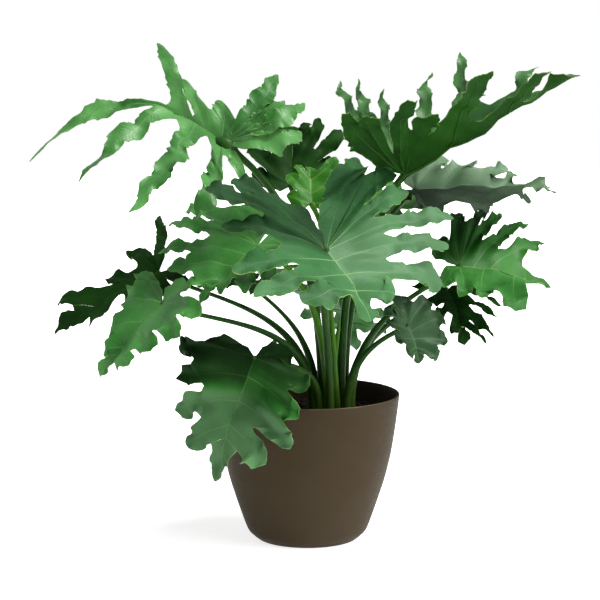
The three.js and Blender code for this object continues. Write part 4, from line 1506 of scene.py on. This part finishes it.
@dataclass
class Pot:
    """The plain tapered pot, one moulding with a thin rounded rim and a flat base.

    Attributes:
        node: The solid that it stands for.
        sides: How many faces go round.
        rings: How many rings the outer wall has.
    """

    node: str = "planter"
    sides: int = 144
    rings: int = 44

    def outside(self, height: np.ndarray | float) -> np.ndarray:
        """Gives the outer wall's radius at a height."""
        heights = [share * POT_HEIGHT for _, share in POT_SIDE]
        radii = [share * POT_RIM_RADIUS for share, _ in POT_SIDE]
        return np.interp(height, heights, radii)

    def profile(self) -> list[tuple[float, float]]:
        """Lists the radius and height of each ring, from the middle of the base over the rim to the floor."""
        heights = POT_HEIGHT * np.linspace(0.0, 0.985, self.rings + 1) ** 1.25
        window = np.linspace(-POT_SIDE_BLUR, POT_SIDE_BLUR, 2 * POT_SIDE_BLUR + 1)
        smooth = [float(np.mean(self.outside(np.clip(height + window, 0, None)))) for height in heights]
        wall = list(zip(smooth, heights.tolist()))
        corner = POT_SIDE[0][0] * POT_RIM_RADIUS
        hollow = [(BASE_DISC, BASE_HOLLOW), (corner - 16.0, BASE_HOLLOW)]
        base = [*hollow, (corner - 12.0, 0.0), (corner - 3.0, 0.0), (corner + 6.0, 0.5)]
        wall = [spot for spot in wall if spot[1] > 2.0]
        top = POT_HEIGHT
        rim = POT_RIM_RADIUS
        lip = [(rim, top - 2.2), (rim - 0.1, top - 1.0), (rim - 0.7, top - 0.2), (rim - 1.5, top)]
        lip += [(rim - 2.4, top - 0.3), (rim - POT_WALL, top - 1.2)]
        inner = [(radius - POT_WALL, height) for radius, height in reversed(wall[:-1]) if height > POT_FLOOR]
        return [*base, *wall[:-1], *lip, *inner, (BASE_DISC, POT_FLOOR)]

    def build(self, palette: Palette) -> bpy.types.Object:
        """Draws the pot up from a small disc, ring by ring.

        Args:
            palette: Where the materials come from.

        Returns:
            The finished pot.
        """
        profile = self.profile()
        Bench.clear()
        near, low = profile[0]
        bpy.ops.mesh.primitive_circle_add(
            vertices=self.sides, radius=near * MM, fill_type="TRIFAN", location=(0.0, 0.0, low * MM)
        )
        piece = bpy.context.object
        piece.name = piece.data.name = "planter_shell"
        bpy.ops.object.transform_apply(location=True, rotation=False, scale=False)
        bpy.ops.object.mode_set(mode="EDIT")
        bpy.ops.mesh.select_all(action="SELECT")
        bpy.ops.mesh.region_to_loop()
        for radius, height in profile[1:]:
            bpy.ops.mesh.extrude_edges_move(TRANSFORM_OT_translate={"value": (0.0, 0.0, (height - low) * MM)})
            wider = (radius / near, radius / near, 1.0)
            bpy.ops.transform.resize(value=wider, center_override=(0.0, 0.0, height * MM))
            near, low = radius, height
        bpy.ops.mesh.edge_face_add()
        bpy.ops.mesh.select_all(action="SELECT")
        bpy.ops.mesh.normals_make_consistent(inside=False)
        bpy.ops.object.mode_set(mode="OBJECT")
        piece.data.materials.append(palette.of(PlasticFinish()))
        Bench.finish(piece, 40.0)
        return piece


@dataclass
class PottingSoil:
    """The potting mix: a filled body with an uneven top, and loose crumbs of bark on it.

    Attributes:
        node: The solid that it stands for.
        crumbs: How many crumbs lie on it.
        seed: Start of the draw that places them.
        gap: Room between the soil and the pot.
        sides: How many faces go round.
        rings: How many rings of points the top has.
        levels: Heights of the rings of points on the side, in millimetres.
    """

    node: str = "potting_soil"
    crumbs: int = 520
    seed: int = 5
    gap: float = 0.35
    sides: int = 120
    rings: int = 44
    levels: tuple[float, ...] = (150.0, 110.0, 70.0, 35.0, 15.0, 6.0)

    def top(self, x: np.ndarray, y: np.ndarray) -> np.ndarray:
        """Gives the height of the soil's top at places in the pot."""
        radius = np.hypot(x, y)
        mound = SOIL_MOUND * (1.0 - smoothstep(radius, 30.0, SOIL_EDGE + 2.0))
        lumps = 1.3 * np.sin(0.09 * x + 1.0) * np.sin(0.11 * y + 2.0) + 0.8 * np.sin(0.31 * x - 0.23 * y)
        small = 0.5 * np.sin(0.9 * x + 0.4 * y) * np.sin(0.75 * y - 0.5 * x + 1.3)
        edge = smoothstep(radius, SOIL_EDGE, SOIL_EDGE + 7.0)
        return SOIL_TOP + mound + (lumps + small) * (1.0 - edge) - 1.0

    def body(self) -> Sheet:
        """Lays out the top, the side and the bottom of the filled body."""
        pot = Pot()
        reach = float(pot.outside(SOIL_TOP)) - POT_WALL - self.gap
        turns = np.linspace(0.0, 2.0 * math.pi, self.sides + 1)
        turns[-1] = 0.0
        radii = np.linspace(0.0, reach, self.rings)
        x = radii[:, None] * np.cos(turns)[None, :]
        y = radii[:, None] * np.sin(turns)[None, :]
        rows = [np.stack([x, y, self.top(x, y)], -1)]
        for height in self.levels:
            radius = float(pot.outside(height)) - POT_WALL - self.gap
            ring = np.stack([radius * np.cos(turns), radius * np.sin(turns), np.full_like(turns, height)], -1)
            rows.append(ring[None])
        rows.append(np.broadcast_to(np.array([0.0, 0.0, POT_FLOOR + self.gap]), (1, len(turns), 3)))
        points = np.concatenate(rows)
        flat = np.zeros(points.shape[:2])
        return Sheet(points[:, ::-1], np.zeros((*points.shape[:2], 2)), flat, flat)

    def scatter(self) -> bpy.types.Object:
        """Strews crumbs over the top, each its own lump or flake."""
        draw = np.random.default_rng(self.seed)
        Bench.clear()
        for order in range(self.crumbs):
            bpy.ops.mesh.primitive_ico_sphere_add(subdivisions=1, radius=1.0)
            if order == 0:
                bpy.ops.object.mode_set(mode="EDIT")
        bpy.ops.object.mode_set(mode="OBJECT")
        piece = bpy.context.object
        mesh = piece.data
        points = np.empty(3 * len(mesh.vertices), dtype=np.float32)
        mesh.vertices.foreach_get("co", points)
        points = points.reshape(self.crumbs, -1, 3)
        radius = SOIL_EDGE * np.sqrt(draw.random(self.crumbs))
        turn = draw.random(self.crumbs) * 2.0 * math.pi
        x, y = radius * np.cos(turn), radius * np.sin(turn)
        size = 1.0 + 3.4 * draw.random(self.crumbs) ** 2.5
        flat = draw.uniform(0.3, 0.95, self.crumbs)
        long = draw.uniform(0.8, 1.9, self.crumbs)
        points *= draw.uniform(0.75, 1.2, (*points.shape[:2], 1))
        points *= np.stack([long, 1.0 / long, flat], -1)[:, None, :] * size[:, None, None]
        spin = draw.random(self.crumbs) * 2.0 * math.pi
        tilt = draw.normal(0.0, 0.35, self.crumbs)
        along, across, above = np.moveaxis(points, -1, 0)
        along, above = turned(along, above, tilt)
        along, across = turned(along, across, spin)
        centre = np.stack([x, y, self.top(x, y) + 0.25 * size], -1)
        points = (np.stack([along, across, above], -1) + centre[:, None, :]) * MM
        mesh.vertices.foreach_set("co", points.astype(np.float32).ravel())
        mesh.update()
        piece.location = (0.0, 0.0, 0.0)
        return piece

    def build(self, palette: Palette) -> bpy.types.Object:
        """Builds the soil and gives it its colour.

        Args:
            palette: Where the materials come from.

        Returns:
            The finished soil.
        """
        body = Bench.laid("soil_body", [self.body()])
        soil = Bench.joined([body, self.scatter()], "potting_mix")
        soil.data.materials.clear()
        soil.data.materials.append(palette.of(SoilFinish()))
        Bench.finish(soil, 35.0)
        return soil


@dataclass(frozen=True)
class Glow:
    """A bright patch of the room.

    Attributes:
        towards: Its direction from the plant.
        strength: How bright its middle is.
        edge: Cosine of the angle from its middle at which it has faded out.
        core: The same for where it starts to fade.
    """

    towards: Spot
    strength: float
    edge: float
    core: float


@dataclass(frozen=True)
class Lamp:
    """A broad, far, soft light.

    Attributes:
        name: Name of the light.
        place: Where it shines from, as a direction from the plant.
        spread: How wide it looks from the plant, in degrees.
        strength: Its strength.
        tint: Its colour.
    """

    name: str
    place: Spot
    spread: float
    strength: float
    tint: Colour = (1.0, 1.0, 1.0)


@dataclass
class Studio:
    """The pale floor, the soft lights and the camera.

    Attributes:
        camera_place: Where the camera stands, in millimetres.
        down: How far it looks down, in degrees.
        focal: Focal length in pixels of the photograph.
        room: Strength of the light that the room throws back from all round.
        glows: The bright patches of the room, which show in glossy skins.
        lamps: The lights.
        sensor: Width of the camera's sensor.
    """

    camera_place: Spot = (-10.3, -2658.3, 679.6)
    down: float = 7.31
    focal: float = 1911.0
    room: float = 0.17
    glows: tuple[Glow, ...] = (
        Glow((0.45, -0.25, 0.85), 0.75, 0.1, 0.9),
        Glow((-0.84, 0.2, 0.5), 1.0, 0.3, 0.95),
    )
    lamps: tuple[Lamp, ...] = (
        Lamp("key", (0.75, -0.15, 1.5), 26.0, 5.2, (1.0, 0.99, 0.97)),
        Lamp("side", (2.0, -0.9, 0.8), 55.0, 2.6),
    )
    sensor: float = 36.0

    def camera(self) -> None:
        """Adds the camera at the photograph's viewpoint."""
        Bench.clear()
        place = Vector(self.camera_place) * MM
        bpy.ops.object.camera_add(location=place, rotation=(math.radians(90.0 - self.down), 0.0, 0.0))
        camera = bpy.context.object
        camera.data.sensor_width = self.sensor
        camera.data.lens = self.focal * self.sensor / PHOTO_WIDTH
        camera.data.clip_end = 60.0
        bpy.context.scene.camera = camera

    def light(self, lamp: Lamp) -> None:
        """Adds a light."""
        Bench.clear()
        turn = Vector(lamp.place).to_track_quat("Z", "Y").to_euler()
        bpy.ops.object.light_add(type="SUN", location=lamp.place, rotation=turn)
        sun = bpy.context.object
        sun.name = lamp.name
        sun.data.angle = math.radians(lamp.spread)
        sun.data.energy = lamp.strength
        sun.data.color = lamp.tint

    def floor(self, palette: Palette) -> None:
        """Adds the floor."""
        Bench.clear()
        bpy.ops.mesh.primitive_plane_add(size=FLOOR_SIZE, location=(0.0, FLOOR_BACK, 0.0))
        floor = bpy.context.object
        floor.name = "floor"
        bpy.ops.object.transform_apply(location=True, rotation=False, scale=False)
        floor.data.materials.append(palette.of(FloorFinish()))

    def build(self, palette: Palette) -> None:
        """Sets up the camera, the floor and the lights.

        Args:
            palette: Where the floor's material comes from.
        """
        self.camera()
        self.floor(palette)
        for lamp in self.lamps:
            self.light(lamp)
        self.surround()
        bpy.context.scene.view_settings.view_transform = "Standard"

    def surround(self) -> None:
        """Lights the room evenly all round, mirrors its bright patches and leaves the backdrop white."""
        world = bpy.data.worlds.new("studio")
        world.use_nodes = True
        bpy.context.scene.world = world
        room = Nodes(world.node_tree)
        path = room.node("ShaderNodeLightPath")
        plain, mirrored = room.tree.nodes["Background"], room.node("ShaderNodeBackground")
        backdrop = room.node("ShaderNodeBackground")
        for seen in (plain, backdrop):
            seen.inputs["Color"].default_value = (1.0, 1.0, 1.0, 1.0)
        room.join(self.room, plain.inputs["Strength"])
        room.join(self.glowing(room), mirrored.inputs["Strength"])
        shader = plain.outputs[0]
        for ray, seen in (("Is Glossy Ray", mirrored), ("Is Camera Ray", backdrop)):
            choice = room.node("ShaderNodeMixShader")
            for source, socket in zip((path.outputs[ray], shader, seen.outputs[0]), choice.inputs):
                room.join(source, socket)
            shader = choice.outputs[0]
        room.join(shader, room.tree.nodes["World Output"].inputs["Surface"])

    def glowing(self, room: Nodes) -> Socket:
        """Adds up the brightness of the room's bright patches in a direction."""
        direction = room.node("ShaderNodeTexCoord").outputs["Generated"]
        total = MIRRORED_SHARE * self.room
        for glow in self.glows:
            facing = room.node("ShaderNodeVectorMath", operation="DOT_PRODUCT")
            room.join(direction, facing.inputs[0])
            room.join(Vector(glow.towards).normalized(), facing.inputs[1])
            bright = room.eased(facing.outputs["Value"], glow.edge, glow.core, 0.0, glow.strength)
            total = room.sum("ADD", total, bright)
        return total


def main() -> None:
    """Loads the frame, builds every piece and sets up the studio."""
    logging.basicConfig(level=logging.INFO, format="%(name)s: %(message)s", force=True)
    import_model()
    palette = Palette()
    Studio().build(palette)
    builders = [Pot(), PottingSoil(), *LEAVES, *SPEARS]
    for order, leaf in enumerate(LEAVES):
        leaf.order = order
    for builder in builders:
        piece = builder.build(palette)
        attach(piece, "root")
        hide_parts(builder.node)
        log.info("%s stands for %s with %d faces", piece.name, builder.node, len(piece.data.polygons))


if __name__ == "__main__":
    main()
